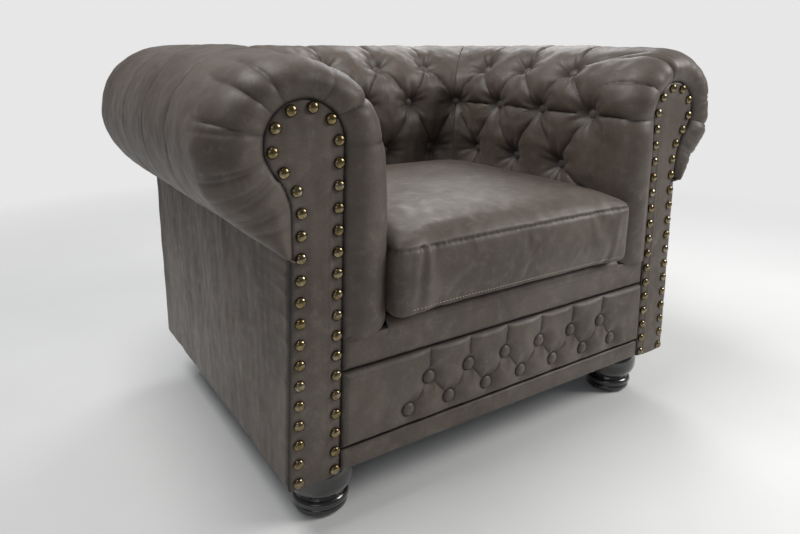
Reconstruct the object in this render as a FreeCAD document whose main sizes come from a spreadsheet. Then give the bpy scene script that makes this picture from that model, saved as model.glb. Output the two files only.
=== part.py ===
import FreeCAD, Part
import math
import os
import Sketcher
from types import SimpleNamespace

# Chesterfield armchair: scroll arms and back at one height, keyhole facings with nail trim,
# a buttoned front panel, one loose box cushion and four turned feet.
# Millimetres. +Z up, the front faces -Y, the origin is on the floor under the middle of the chair.

os.makedirs("parts", exist_ok=True)
doc = FreeCAD.newDocument("armchair")

driving_sizes = {
    "overall_width": 1070,
    "overall_depth": 822,
    "overall_height": 742,
    "roll_radius": 131,
    "cover_thickness": 2,
    "foot_height": 97,
    "frame_bottom": 98,
    "facing_setback": 25,
    "facing_thickness": 8,
    "head_x": 398,
    "head_z": 617,
    "head_radius": 60,
    "shaft_inner_foot_x": 362,
    "shaft_outer_foot_x": 448,
    "neck_x": 424,
    "neck_z": 525,
    "front_post_thickness": 22,
    "post_inset": 3,
    "rim_overhang": 8,
    "rim_fillet": 40,
    "padding_bottom": 322,
    "tail_x": 431,
    "panel_thickness": 8,
    "outside_panel_top": 482,
    "outside_panel_top_x": 426,
    "back_panel_y": 312,
    "front_upholstery": 20,
    "strip_top": 137,
    "border_bottom": 267,
    "border_round": 20,
    "seat_top": 338,
    "rail_thickness": 28,
    "front_rail_bottom": 100,
    "seat_rail_top": 300,
    "seat_rail_bottom": 225,
    "base_rail_top": 143,
    "seat_rail_inner_x": 399,
    "base_rail_inner_x": 408,
    "rear_rail_y": 276,
    "rear_post_inner_x": 353,
    "rear_post_outer_x": 398,
    "rear_post_front_y": 254,
    "rear_post_back_y": 300,
    "top_rail_size": 44,
    "top_rail_bottom": 594,
    "scroll_rail_inner_x": 428,
    "scroll_rail_thickness": 16,
    "scroll_rail_bottom": 598,
    "scroll_rail_depth": 38,
    "stay_rail_inner_x": 354,
    "stay_rail_thickness": 22,
    "stay_rail_bottom": 345,
    "stay_rail_depth": 45,
    "rib_thickness": 12,
    "rib_inset": 9,
    "arm_rib_front_y": -144,
    "arm_rib_rear_y": 66,
    "back_rib_x": 165,
    "block_length": 80,
    "front_foot_x": 364,
    "front_foot_y": 315,
    "rear_foot_x": 350,
    "rear_foot_y": 222,
    "foot_dome_radius": 56,
    "foot_ring_radius": 47,
    "foot_waist_radius": 42,
    "foot_top_radius": 44,
    "glide_radius": 17,
    "glide_thickness": 3,
    "stud_radius": 4,
    "stud_bottom": 60,
    "stud_top": 141,
    "tee_nut_barrel_radius": 5.5,
    "tee_nut_barrel": 10,
    "tee_nut_flange_radius": 11,
    "tee_nut_flange": 1.5,
    "spring_spacing": 140,
    "spring_wire": 4,
    "spring_width": 46,
    "spring_front_y": -352,
    "spring_rear_y": 290,
    "clip_width": 26,
    "clip_sheet": 1.2,
    "clip_heel": 10,
    "clip_lip": 4,
    "clip_back": 3.4,
    "clip_clearance": 0.2,
    "tie_wire": 2.6,
    "tie_wire_half_length": 413,
    "tie_wire_front_y": -130,
    "tie_wire_rear_y": 90,
    "spring_cover_bottom": 308,
    "spring_cover_thickness": 2,
    "spring_cover_half_width": 350,
    "deck_cloth_thickness": 2,
    "seat_gap": 1,
    "nail_radius": 8.5,
    "nail_dome": 5,
    "nail_shank": 16,
    "nail_shank_width": 1.6,
    "button_radius": 11.5,
    "button_dome": 6,
    "tuft_depth": 24,
    "tuft_mouth_radius": 38,
    "tuft_floor_radius": 15,
    "tuft_spacing": 140,
    "arm_upper_row_start": 198,
    "arm_middle_row_start": 112,
    "arm_lower_row_start": 186,
    "middle_row_z": 612,
    "lower_row_z": 498,
    "upper_row_tilt": 45,
    "panel_tuft_depth": 7,
    "panel_tuft_mouth_radius": 24,
    "panel_upper_row_z": 213,
    "panel_upper_row_start": -190,
    "panel_upper_row_spacing": 84.5,
    "panel_lower_row_z": 165,
    "panel_lower_row_start": -231,
    "panel_lower_row_spacing": 83.5,
    "cushion_width": 542,
    "cushion_back_y": 143,
    "cushion_bottom": 338.3,
    "cushion_border_top": 458,
    "cushion_crown": 16,
    "cushion_fillet": 18,
    "cushion_skin": 2,
    "zip_length": 430,
    "zip_width": 12,
    "zip_thickness": 1.5,
}

sheet = doc.addObject("Spreadsheet::Sheet", "dims")
for row, (word, number) in enumerate(driving_sizes.items(), start=1):
    sheet.set(f"A{row}", word)
    sheet.set(f"B{row}", str(number))
    sheet.setAlias(f"B{row}", word)
doc.recompute()


class Size:
    """A length together with the sheet expression that gives it."""

    def __init__(self, value, text):
        self.value = float(value)
        self.text = text

    def _with(self, other, mark, swap=False):
        other = as_size(other)
        first, second = (other, self) if swap else (self, other)
        if mark == "+":
            value = first.value + second.value
        elif mark == "-":
            value = first.value - second.value
        elif mark == "*":
            value = first.value * second.value
        else:
            value = first.value / second.value
        return Size(value, f"({first.text} {mark} {second.text})")

    def __add__(self, other):
        return self._with(other, "+")

    def __radd__(self, other):
        return self._with(other, "+", swap=True)

    def __sub__(self, other):
        return self._with(other, "-")

    def __rsub__(self, other):
        return self._with(other, "-", swap=True)

    def __mul__(self, other):
        return self._with(other, "*")

    def __rmul__(self, other):
        return self._with(other, "*", swap=True)

    def __truediv__(self, other):
        return self._with(other, "/")

    def __rtruediv__(self, other):
        return self._with(other, "/", swap=True)

    def __neg__(self):
        return Size(0, "0") - self

    def root(self):
        return Size(math.sqrt(self.value), f"sqrt({self.text})")


def as_size(number):
    return number if isinstance(number, Size) else Size(number, f"{number}")


size = SimpleNamespace(**{word: Size(number, f"dims.{word}") for word, number in driving_sizes.items()})

SIDES = (("left", -1), ("right", 1))
subparts = []


def keep(thing, label):
    """Names a finished sub-part and puts it on the list to be written."""
    thing.Label = label
    subparts.append(thing)
    return thing


def place(thing, x=0, y=0, z=0):
    """Ties the position of a sub-part to the sheet."""
    for axis, number in (("x", x), ("y", y), ("z", z)):
        thing.setExpression(f"Placement.Base.{axis}", as_size(number).text)


def bend(radius, centre, clockwise):
    """A round edge of an outline, from one corner to the next."""
    return SimpleNamespace(radius=radius, centre=centre, clockwise=clockwise)


def edge_geometry(start, end, curve):
    """The line or arc between two corners, and which of its ends is the outline's start."""
    first = FreeCAD.Vector(start[0].value, start[1].value, 0)
    last = FreeCAD.Vector(end[0].value, end[1].value, 0)
    if curve is None:
        return Part.LineSegment(first, last), 1, 2
    middle = FreeCAD.Vector(as_size(curve.centre[0]).value, as_size(curve.centre[1]).value, 0)
    circle = Part.Circle(middle, FreeCAD.Vector(0, 0, 1), as_size(curve.radius).value)
    angle_first = math.atan2(first.y - middle.y, first.x - middle.x)
    angle_last = math.atan2(last.y - middle.y, last.x - middle.x)
    if curve.clockwise:
        return Part.ArcOfCircle(circle, angle_last, angle_first), 2, 1
    return Part.ArcOfCircle(circle, angle_first, angle_last), 1, 2


def draw_outline(sketch, steps):
    """Draws a closed outline. A step is a corner, or a corner and the bend that leads on from it."""
    corners = [(as_size(step[0]), as_size(step[1])) for step in steps]
    curves = [step[2] if len(step) > 2 else None for step in steps]
    count = len(steps)
    ends = []
    for index in range(count):
        following = corners[(index + 1) % count]
        geometry, start_point, end_point = edge_geometry(corners[index], following, curves[index])
        sketch.addGeometry(geometry, False)
        ends.append((start_point, end_point))
    for index in range(count):
        after = (index + 1) % count
        joint = Sketcher.Constraint("Coincident", index, ends[index][1], after, ends[after][0])
        sketch.addConstraint(joint)
    for index, (across, up) in enumerate(corners):
        for kind, number, axis_line in (("DistanceX", across, -2), ("DistanceY", up, -1)):
            if abs(number.value) < 1e-9:
                on_axis = Sketcher.Constraint("PointOnObject", index, ends[index][0], axis_line)
                sketch.addConstraint(on_axis)
                continue
            held = sketch.addConstraint(Sketcher.Constraint(kind, index, ends[index][0], number.value))
            sketch.setExpression(f"Constraints[{held}]", number.text)
    for index, curve in enumerate(curves):
        if curve is not None:
            radius = as_size(curve.radius)
            held = sketch.addConstraint(Sketcher.Constraint("Radius", index, radius.value))
            sketch.setExpression(f"Constraints[{held}]", radius.text)


def origin_plane(body, role):
    return next(plane for plane in body.Origin.OriginFeatures if plane.Role == role)


def body_sketch(body, role, steps, name="outline"):
    sketch = body.newObject("Sketcher::SketchObject", name)
    sketch.AttachmentSupport = [(origin_plane(body, role), "")]
    sketch.MapMode = "FlatFace"
    draw_outline(sketch, steps)
    return sketch


def padded_body(name, role, steps, length):
    """A body made of one outline on an origin plane and one pad."""
    body = doc.addObject("PartDesign::Body", name)
    sketch = body_sketch(body, role, steps)
    pad = body.newObject("PartDesign::Pad", "pad")
    pad.Profile = sketch
    pad.setExpression("Length", as_size(length).text)
    sketch.Visibility = False
    return body


def board_facing_front(label, steps, front_y, thickness):
    """A flat piece seen from the front: its outline is X and Z, and it is thick along Y."""
    body = padded_body(label, "XZ_Plane", steps, thickness)
    place(body, y=front_y + thickness)
    return keep(body, label)


def block(name, low, high):
    """A plain squared timber between two corners."""
    box = doc.addObject("Part::Box", name)
    for measure, start, end in zip(("Length", "Width", "Height"), low, high):
        box.setExpression(measure, (as_size(end) - start).text)
    place(box, *low)
    return box


def side_block(name, side, inner, outer):
    """A timber on one side; X is given as its distance from the middle of the chair."""
    if side > 0:
        return block(name, inner, outer)
    return block(name, (-as_size(outer[0]), inner[1], inner[2]), (-as_size(inner[0]), outer[1], outer[2]))


def upright_cylinder(name, radius, bottom, top, x, y):
    rod = doc.addObject("Part::Cylinder", name)
    rod.setExpression("Radius", as_size(radius).text)
    rod.setExpression("Height", (as_size(top) - bottom).text)
    place(rod, x, y, bottom)
    return rod


def cut(name, base, *tools):
    """The base with each tool taken away, as a chain of cuts."""
    result = base
    for number, tool in enumerate(tools, start=1):
        step = doc.addObject("Part::Cut", f"{name}_cut_{number}")
        step.Base = result
        step.Tool = tool
        result = step
    return result


def group(label, pieces):
    """Like pieces that share one node, as separate solids."""
    bundle = doc.addObject("Part::Compound", label)
    bundle.Links = pieces
    return keep(bundle, label)


# Main planes, worked out from the driving sizes.
roll_x = size.overall_width / 2 - size.roll_radius
roll_z = size.overall_height - size.roll_radius
roll_y = size.overall_depth / 2 - size.roll_radius
facing_y = size.facing_setback - size.overall_depth / 2
post_y = facing_y + size.facing_thickness
post_back_y = post_y + size.front_post_thickness
rail_front_y = facing_y + size.front_upholstery
rail_back_y = rail_front_y + size.rail_thickness
rear_rail_back_y = size.rear_rail_y + size.rail_thickness


def shaft_inner_x(height):
    """The inner edge of the facing leans out towards the floor, from the head down."""
    lean = (size.shaft_inner_foot_x - (size.head_x - size.head_radius)) / (size.head_z - size.frame_bottom)
    return size.shaft_inner_foot_x - lean * (height - size.frame_bottom)


def shaft_outer_x(height):
    lean = (size.shaft_outer_foot_x - size.neck_x) / (size.neck_z - size.frame_bottom)
    return size.shaft_outer_foot_x - lean * (height - size.frame_bottom)


def keyhole_head(inset, neck_inset):
    """The round head and the hollow neck under it: radii, centres and the points where they meet."""
    radius = size.head_radius - inset
    neck_x = size.neck_x - neck_inset
    across = neck_x - size.head_x
    drop = size.neck_z - size.head_z
    neck_radius = (drop * drop + across * across - radius * radius) / (2 * (radius - across))
    neck_centre = (neck_x + neck_radius, size.neck_z)
    share = radius / (radius + neck_radius)
    meeting = (
        size.head_x + share * (neck_centre[0] - size.head_x),
        size.head_z + share * (neck_centre[1] - size.head_z),
    )
    return SimpleNamespace(
        radius=radius,
        neck_radius=neck_radius,
        neck_centre=neck_centre,
        meeting=meeting,
        neck=(neck_x, size.neck_z),
        inner=(size.head_x - radius, size.head_z),
    )


def keyhole(side, inner_inset, outer_inset, head_inset, bottom):
    """Outline of the arm front, from its inner foot up over the head and down the outer edge."""
    head = keyhole_head(head_inset, outer_inset)
    right = side > 0
    return [
        (side * (shaft_inner_x(bottom) + inner_inset), bottom),
        (side * head.inner[0], head.inner[1], bend(head.radius, (side * size.head_x, size.head_z), right)),
        (
            side * head.meeting[0],
            head.meeting[1],
            bend(head.neck_radius, (side * head.neck_centre[0], head.neck_centre[1]), not right),
        ),
        (side * head.neck[0], head.neck[1]),
        (side * (shaft_outer_x(bottom) - outer_inset), bottom),
    ]


# Turned feet: a wide dome over two rings, a glide under each, screwed on with a stud and a tee nut.
ring_height = 15
ring_bulge = 8
upper_ring_height = 31
upper_ring_bulge = 9
waist_height = 35
dome_height = 62
dome_lower_curve = 33
dome_upper_curve = 40
feet_places = {
    "foot_front_left": (-size.front_foot_x, -size.front_foot_y),
    "foot_front_right": (size.front_foot_x, -size.front_foot_y),
    "foot_rear_left": (-size.rear_foot_x, size.rear_foot_y),
    "foot_rear_right": (size.rear_foot_x, size.rear_foot_y),
}


def arc_through(radius, start, end):
    """A convex bend of a turned profile, whose centre is on the left of the chord from start to end."""
    start = (as_size(start[0]), as_size(start[1]))
    end = (as_size(end[0]), as_size(end[1]))
    chord_x = end[0].value - start[0].value
    chord_z = end[1].value - start[1].value
    chord = math.hypot(chord_x, chord_z)
    reach = math.sqrt(radius**2 - (chord / 2) ** 2)
    middle_x = (start[0].value + end[0].value) / 2 - chord_z / chord * reach
    middle_z = (start[1].value + end[1].value) / 2 + chord_x / chord * reach
    return bend(radius, (middle_x, middle_z), False)


def turned_foot(label, x, y):
    bottom = size.glide_thickness
    waist = size.foot_waist_radius
    foot_edge = (waist, bottom)
    ring_top = (waist + 2, ring_height)
    upper_ring_top = (waist + 1, upper_ring_height)
    neck = (waist - 1, waist_height)
    dome_middle = (size.foot_dome_radius, dome_height)
    foot_top = (size.foot_top_radius, size.foot_height)
    steps = [
        (0, bottom),
        (*foot_edge, arc_through(ring_bulge, foot_edge, ring_top)),
        (*ring_top, arc_through(upper_ring_bulge, ring_top, upper_ring_top)),
        upper_ring_top,
        (*neck, arc_through(dome_lower_curve, neck, dome_middle)),
        (*dome_middle, arc_through(dome_upper_curve, dome_middle, foot_top)),
        foot_top,
        (0, size.foot_height),
    ]
    body = doc.addObject("PartDesign::Body", label)
    profile = body_sketch(body, "XZ_Plane", steps, "turned_profile")
    turning = body.newObject("PartDesign::Revolution", "turning")
    turning.Profile = profile
    turning.ReferenceAxis = (profile, ["V_Axis"])
    turning.Angle = 360
    doc.recompute()
    bore = size.stud_radius
    bore_steps = [(0, size.stud_bottom), (bore, size.stud_bottom), (bore, size.foot_height)]
    bore_steps.append((0, size.foot_height))
    bore_profile = body_sketch(body, "XZ_Plane", bore_steps, "stud_hole_profile")
    hole = body.newObject("PartDesign::Groove", "stud_hole")
    hole.Profile = bore_profile
    hole.ReferenceAxis = (bore_profile, ["V_Axis"])
    hole.Angle = 360
    place(body, x, y, 0)
    return keep(body, label)


for foot_label, (foot_x, foot_y) in feet_places.items():
    turned_foot(foot_label, foot_x, foot_y)

glides = []
studs = []
for foot_x, foot_y in feet_places.values():
    glide = upright_cylinder("glide", size.glide_radius, 0, size.glide_thickness, foot_x, foot_y)
    stud = upright_cylinder("stud", size.stud_radius, size.stud_bottom, size.stud_top, foot_x, foot_y)
    glides.append(glide)
    studs.append(stud)
group("foot_glides", glides)
group("foot_studs", studs)


def tee_nut(x, y):
    """A flanged nut whose barrel is pressed down into the corner block."""
    flange_bottom = size.base_rail_top
    flange_top = flange_bottom + size.tee_nut_flange
    flange = upright_cylinder("tee_nut_flange", size.tee_nut_flange_radius, flange_bottom, flange_top, x, y)
    barrel_bottom = flange_bottom - size.tee_nut_barrel
    barrel_radius = size.tee_nut_barrel_radius
    barrel = upright_cylinder("tee_nut_barrel", barrel_radius, barrel_bottom, flange_bottom, x, y)
    nut = doc.addObject("Part::Fuse", "tee_nut_blank")
    nut.Base = flange
    nut.Tool = barrel
    thread = upright_cylinder("tee_nut_thread", size.stud_radius, barrel_bottom - 1, flange_top + 1, x, y)
    return cut("tee_nut", nut, thread)


group("foot_tee_nuts", [tee_nut(x, y) for x, y in feet_places.values()])

# Seat frame: squared rails between the posts, and a glued block in each corner that takes a foot.
front_rail_foot_x = shaft_inner_x(size.front_rail_bottom) + size.post_inset
front_rail_top_x = shaft_inner_x(size.seat_rail_top) + size.post_inset
front_rail_steps = [
    (-front_rail_foot_x, size.front_rail_bottom),
    (front_rail_foot_x, size.front_rail_bottom),
    (front_rail_top_x, size.seat_rail_top),
    (-front_rail_top_x, size.seat_rail_top),
]
board_facing_front("front_seat_rail", front_rail_steps, rail_front_y, size.rail_thickness)

for side_name, side in SIDES:
    for rail_name, inner_x, rail_bottom, rail_top in (
        ("seat_rail", size.seat_rail_inner_x, size.seat_rail_bottom, size.seat_rail_top),
        ("base_rail", size.base_rail_inner_x, size.frame_bottom, size.base_rail_top),
    ):
        low = (inner_x, post_back_y, rail_bottom)
        high = (inner_x + size.rail_thickness, rear_rail_back_y, rail_top)
        rail = side_block(f"{side_name}_{rail_name}_timber", side, low, high)
        keep(rail, f"{side_name}_{rail_name}")

for rail_name, rail_bottom, rail_top in (
    ("rear_seat_rail", size.seat_rail_bottom, size.seat_rail_top),
    ("rear_base_rail", size.frame_bottom, size.base_rail_top),
):
    low = (-size.rear_post_inner_x, size.rear_rail_y, rail_bottom)
    high = (size.rear_post_inner_x, rear_rail_back_y, rail_top)
    keep(block(f"{rail_name}_timber", low, high), rail_name)


def corner_block(side, near_y, far_y, foot_x, foot_y):
    """A block with its inner corner cut off, bored for the stud and the barrel of the tee nut."""
    outer = size.base_rail_inner_x
    inner = size.base_rail_inner_x - size.block_length
    bevel = (as_size(far_y) - near_y) / 2
    steps = [
        (side * outer, near_y),
        (side * outer, far_y),
        (side * (outer - size.block_length / 2), far_y),
        (side * inner, far_y - bevel),
        (side * inner, near_y),
    ]
    body = padded_body("corner_block", "XY_Plane", steps, size.base_rail_top - size.frame_bottom)
    place(body, z=size.frame_bottom)
    hole_bottom = size.frame_bottom - 1
    hole_top = size.base_rail_top + 1
    hole = upright_cylinder("block_hole", size.tee_nut_barrel_radius, hole_bottom, hole_top, foot_x, foot_y)
    return cut("corner_block", body, hole)


front_block_end_y = rail_back_y + size.block_length
rear_block_end_y = size.rear_post_front_y - size.block_length
corner_blocks = []
for _, side in SIDES:
    front_foot = (side * size.front_foot_x, -size.front_foot_y)
    rear_foot = (side * size.rear_foot_x, size.rear_foot_y)
    corner_blocks.append(corner_block(side, rail_back_y, front_block_end_y, *front_foot))
    corner_blocks.append(corner_block(side, size.rear_post_front_y, rear_block_end_y, *rear_foot))
group("corner_blocks", corner_blocks)

# Arm and back frame: keyhole boards at the front, sticks at the rear corners, three rails along
# each arm and the back, and plywood ribs of the same keyhole shape that carry them.
top_rail_inner_x = size.head_x - size.top_rail_size / 2
top_rail_outer_x = size.head_x + size.top_rail_size / 2
top_rail_top = size.top_rail_bottom + size.top_rail_size
scroll_rail_outer_x = size.scroll_rail_inner_x + size.scroll_rail_thickness
scroll_rail_top = size.scroll_rail_bottom + size.scroll_rail_depth
stay_rail_outer_x = size.stay_rail_inner_x + size.stay_rail_thickness
stay_rail_top = size.stay_rail_bottom + size.stay_rail_depth
back_shift = roll_y - roll_x
back_top_rail_front_y = top_rail_inner_x + back_shift

for side_name, side in SIDES:
    board_facing_front(
        f"{side_name}_front_post",
        keyhole(side, size.post_inset, size.panel_thickness + 1, size.post_inset, size.frame_bottom),
        post_y,
        size.front_post_thickness,
    )
    sticks = (
        (
            "rear_post",
            (size.rear_post_inner_x, size.rear_post_front_y, size.frame_bottom),
            (size.rear_post_outer_x, size.rear_post_back_y, size.top_rail_bottom),
        ),
        (
            "arm_top_rail",
            (top_rail_inner_x, post_back_y, size.top_rail_bottom),
            (top_rail_outer_x, back_top_rail_front_y, top_rail_top),
        ),
        (
            "arm_scroll_rail",
            (size.scroll_rail_inner_x, post_back_y, size.scroll_rail_bottom),
            (scroll_rail_outer_x, roll_y, scroll_rail_top),
        ),
        (
            "arm_stay_rail",
            (size.stay_rail_inner_x, post_back_y, size.stay_rail_bottom),
            (stay_rail_outer_x, size.rear_post_front_y, stay_rail_top),
        ),
    )
    for stick_name, low, high in sticks:
        keep(side_block(f"{side_name}_{stick_name}_timber", side, low, high), f"{side_name}_{stick_name}")

back_sticks = (
    (
        "back_top_rail",
        (-top_rail_outer_x, back_top_rail_front_y, size.top_rail_bottom),
        (top_rail_outer_x, top_rail_outer_x + back_shift, top_rail_top),
    ),
    (
        "back_scroll_rail",
        (-roll_x, size.scroll_rail_inner_x + back_shift, size.scroll_rail_bottom),
        (roll_x, scroll_rail_outer_x + back_shift, scroll_rail_top),
    ),
    (
        "back_stay_rail",
        (-size.stay_rail_inner_x, size.stay_rail_inner_x + back_shift, size.stay_rail_bottom),
        (size.stay_rail_inner_x, stay_rail_outer_x + back_shift, stay_rail_top),
    ),
)
for rail_name, low, high in back_sticks:
    keep(block(f"{rail_name}_timber", low, high), rail_name)


def rib(side, start):
    """A plywood rib that stands on the seat rail and is notched over the three rails."""
    inset = size.rib_inset
    outline = keyhole(side, inset, inset, inset, size.seat_rail_top)
    body = padded_body("rib", "XZ_Plane", outline, size.rib_thickness)
    end = as_size(start) + size.rib_thickness
    place(body, y=end)
    rails = (
        (top_rail_inner_x, top_rail_outer_x, size.top_rail_bottom, top_rail_top),
        (size.scroll_rail_inner_x, scroll_rail_outer_x, size.scroll_rail_bottom, scroll_rail_top),
        (size.stay_rail_inner_x, stay_rail_outer_x, size.stay_rail_bottom, stay_rail_top),
    )
    notches = []
    for inner, outer, low, high in rails:
        notches.append(side_block("notch", side, (inner, start - 1, low), (outer, end + 1, high)))
    return cut("rib", body, *notches)


arm_rib_places = (size.arm_rib_front_y, size.arm_rib_rear_y)
group("arm_ribs", [rib(side, rib_y) for _, side in SIDES for rib_y in arm_rib_places])


def turned_to_back(thing, name):
    """Turns a piece of the right arm a quarter turn, so that it stands in the back."""
    holder = doc.addObject("Part::Compound", name)
    holder.Links = [thing]
    holder.Placement = FreeCAD.Placement(
        FreeCAD.Vector(0, 0, 0), FreeCAD.Rotation(FreeCAD.Vector(0, 0, 1), 90)
    )
    holder.setExpression("Placement.Base.y", back_shift.text)
    return holder


back_ribs = []
for side_name, side in SIDES:
    back_rib = rib(1, side * size.back_rib_x - size.rib_thickness / 2)
    back_ribs.append(turned_to_back(back_rib, f"back_rib_{side_name}"))
group("back_ribs", back_ribs)

# Seat: sinuous springs hooked into clips on the front and rear rails, tied across by two wires,
# then a woven cover, a pad and the deck cloth that the cushion lies on.
spring_bottom = size.seat_rail_top + size.clip_sheet
spring_top = spring_bottom + size.spring_wire
spring_bend_count = 21
spring_corner = 8
spring_lines = [size.spring_spacing * number for number in (-1.5, -0.5, 0.5, 1.5)]


def sinuous_spring(centre_x):
    """Square-set wire that runs across and back, a little further to the rear with each bar."""
    front = size.spring_front_y.value
    pitch = (size.spring_rear_y.value - front) / spring_bend_count
    reach = size.spring_width.value / 2
    height = spring_bottom.value
    points = []
    for bar in range(spring_bend_count + 1):
        way = 1 if bar % 2 else -1
        bar_y = front + bar * pitch
        points.append((-way * (reach - spring_corner), bar_y))
        points.append((way * (reach - spring_corner), bar_y))
        if bar < spring_bend_count:
            points.append((way * reach, bar_y + spring_corner))
            points.append((way * reach, bar_y + pitch - spring_corner))
    path = Part.makePolygon([FreeCAD.Vector(x, y, height) for x, y in points])
    half = size.spring_wire.value / 2
    start_x, start_y = points[0]
    square = [(-half, 0), (half, 0), (half, 2 * half), (-half, 2 * half), (-half, 0)]
    section = Part.makePolygon([FreeCAD.Vector(start_x, start_y + y, height + z) for y, z in square])
    mitred_corner = 1
    wire = path.makePipeShell([section], True, True, mitred_corner)
    spring = doc.addObject("Part::Feature", "spring")
    spring.Shape = wire
    spring.setExpression("Placement.Base.x", centre_x.text)
    return spring


group("seat_springs", [sinuous_spring(centre_x) for centre_x in spring_lines])


def spring_clip(centre_x, wire_y, inward):
    """A strip bent over the spring's end bar; it opens towards the middle of the seat."""
    base = size.seat_rail_top
    sheet_top = base + size.clip_sheet
    lip_bottom = spring_top + size.clip_clearance
    lip_top = lip_bottom + size.clip_sheet
    heel_y = wire_y + inward * size.clip_heel
    lip_y = wire_y + inward * size.clip_lip
    inside_y = wire_y - inward * size.clip_back
    outside_y = inside_y - inward * size.clip_sheet
    steps = [
        (heel_y, base),
        (heel_y, sheet_top),
        (inside_y, sheet_top),
        (inside_y, lip_bottom),
        (lip_y, lip_bottom),
        (lip_y, lip_top),
        (outside_y, lip_top),
        (outside_y, base),
    ]
    body = padded_body("spring_clip", "YZ_Plane", steps, size.clip_width)
    place(body, x=centre_x - size.clip_width / 2)
    return body


front_clips = [spring_clip(centre_x, size.spring_front_y, 1) for centre_x in spring_lines]
rear_clips = [spring_clip(centre_x, size.spring_rear_y, -1) for centre_x in spring_lines]
group("spring_clips", front_clips + rear_clips)


def tie_wire(front_y):
    """A wire laid over the springs, its ends turned down on to the side rails."""
    reach = size.tie_wire_half_length
    under = spring_top
    over = under + size.tie_wire
    foot = size.seat_rail_top
    inner = reach - size.tie_wire
    steps = [(-reach, foot), (-inner, foot), (-inner, under), (inner, under)]
    steps += [(inner, foot), (reach, foot), (reach, over), (-reach, over)]
    body = padded_body("tie_wire", "XZ_Plane", steps, size.tie_wire)
    place(body, y=front_y + size.tie_wire)
    return body


group("spring_tie_wires", [tie_wire(size.tie_wire_front_y), tie_wire(size.tie_wire_rear_y)])

seat_half_width = roll_x - size.roll_radius - size.seat_gap
seat_back_y = roll_y - size.roll_radius - size.seat_gap
spring_cover_top = size.spring_cover_bottom + size.spring_cover_thickness
deck_cloth_bottom = size.seat_top - size.deck_cloth_thickness
deck_front_y = rail_back_y
spring_cover_front_y = size.spring_front_y - size.seat_gap
spring_cover_back_y = size.stay_rail_inner_x + back_shift - size.seat_gap
layers = (
    (
        "spring_cover",
        (-size.spring_cover_half_width, spring_cover_front_y, size.spring_cover_bottom),
        (size.spring_cover_half_width, spring_cover_back_y, spring_cover_top),
    ),
    (
        "seat_deck_pad",
        (-seat_half_width, deck_front_y, spring_cover_top),
        (seat_half_width, seat_back_y, deck_cloth_bottom),
    ),
    (
        "seat_deck_cloth",
        (-seat_half_width, deck_front_y, deck_cloth_bottom),
        (seat_half_width, seat_back_y, size.seat_top),
    ),
)
for layer_name, low, high in layers:
    keep(block(f"{layer_name}_sheet", low, high), layer_name)

# Padding and cover of the arms and the back: one hooked section that rises from the seat, goes
# round the keyhole head and ends under the roll. At the rear corners the sections turn and meet
# on a mitre, so the three rolls make one U at one height.


def hook_section(name, grow, along_y, outer_half=False):
    """The section as a sketch that stands in the XZ plane at along_y, or only its outer half."""
    cavity = keyhole_head(-0.5, -0.5)
    radius = size.roll_radius - size.cover_thickness + grow
    tail_reach = size.tail_x - roll_x
    tail_z = roll_z - (radius * radius - tail_reach * tail_reach).root()
    roll_bend = bend(radius, (roll_x, roll_z), True)
    head_bend = bend(cavity.radius, (size.head_x, size.head_z), False)
    neck_bend = bend(cavity.neck_radius, cavity.neck_centre, True)
    if outer_half:
        head_reach = roll_x - size.head_x
        head_top = size.head_z + (cavity.radius * cavity.radius - head_reach * head_reach).root()
        steps = [
            (roll_x, head_top),
            (roll_x, roll_z + radius, roll_bend),
            (size.tail_x, tail_z),
            (*cavity.neck, neck_bend),
            (*cavity.meeting, head_bend),
        ]
    else:
        steps = [
            (roll_x - radius, size.padding_bottom),
            (roll_x - radius, roll_z, roll_bend),
            (size.tail_x, tail_z),
            (*cavity.neck, neck_bend),
            (*cavity.meeting, head_bend),
            cavity.inner,
            (shaft_inner_x(size.padding_bottom) - 0.5, size.padding_bottom),
        ]
    sketch = doc.addObject("Sketcher::SketchObject", name)
    upright = FreeCAD.Rotation(FreeCAD.Vector(1, 0, 0), 90)
    sketch.Placement = FreeCAD.Placement(FreeCAD.Vector(0, 0, 0), upright)
    draw_outline(sketch, steps)
    sketch.setExpression("Placement.Base.y", as_size(along_y).text)
    return sketch


def straight_run(name, grow, from_y, to_y):
    run = doc.addObject("Part::Extrusion", name)
    run.Base = hook_section(f"{name}_section", grow, to_y)
    run.DirMode = "Normal"
    run.Solid = True
    run.setExpression("LengthFwd", (as_size(to_y) - from_y).text)
    return run


def corner_turn(name, grow, along_y, angle):
    """The outer half of the section turned through half a right angle about the roll's own axis."""
    turn = doc.addObject("Part::Revolution", name)
    turn.Source = hook_section(f"{name}_section", grow, along_y, outer_half=True)
    turn.Axis = FreeCAD.Vector(0, 0, 1)
    turn.setExpression("Base.x", roll_x.text)
    turn.setExpression("Base.y", as_size(along_y).text)
    turn.Angle = angle
    turn.Solid = True
    return turn


def mitre_wedge(name, along_y, way):
    """A prism that takes away what lies beyond the mitre line, inside the corner."""
    reach = size.roll_radius + 1
    beyond = along_y + way
    steps = [
        (roll_x, along_y),
        (roll_x - reach, along_y - way * reach),
        (roll_x - reach, beyond),
        (roll_x, beyond),
    ]
    wedge = padded_body(name, "XY_Plane", steps, size.overall_height)
    return wedge


def rim_edges(shape, front_y, radius):
    """The outer edges of the front end: the round of the roll and the line down to the seat."""
    found = []
    for number, edge in enumerate(shape.Edges, start=1):
        if any(abs(vertex.Y - front_y) > 0.01 for vertex in edge.Vertexes):
            continue
        round_edge = hasattr(edge.Curve, "Radius") and abs(edge.Curve.Radius - radius) < 0.01
        inner_edge = all(abs(vertex.X - (roll_x.value - radius)) < 0.01 for vertex in edge.Vertexes)
        if round_edge or inner_edge:
            found.append(number)
    return found


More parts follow.
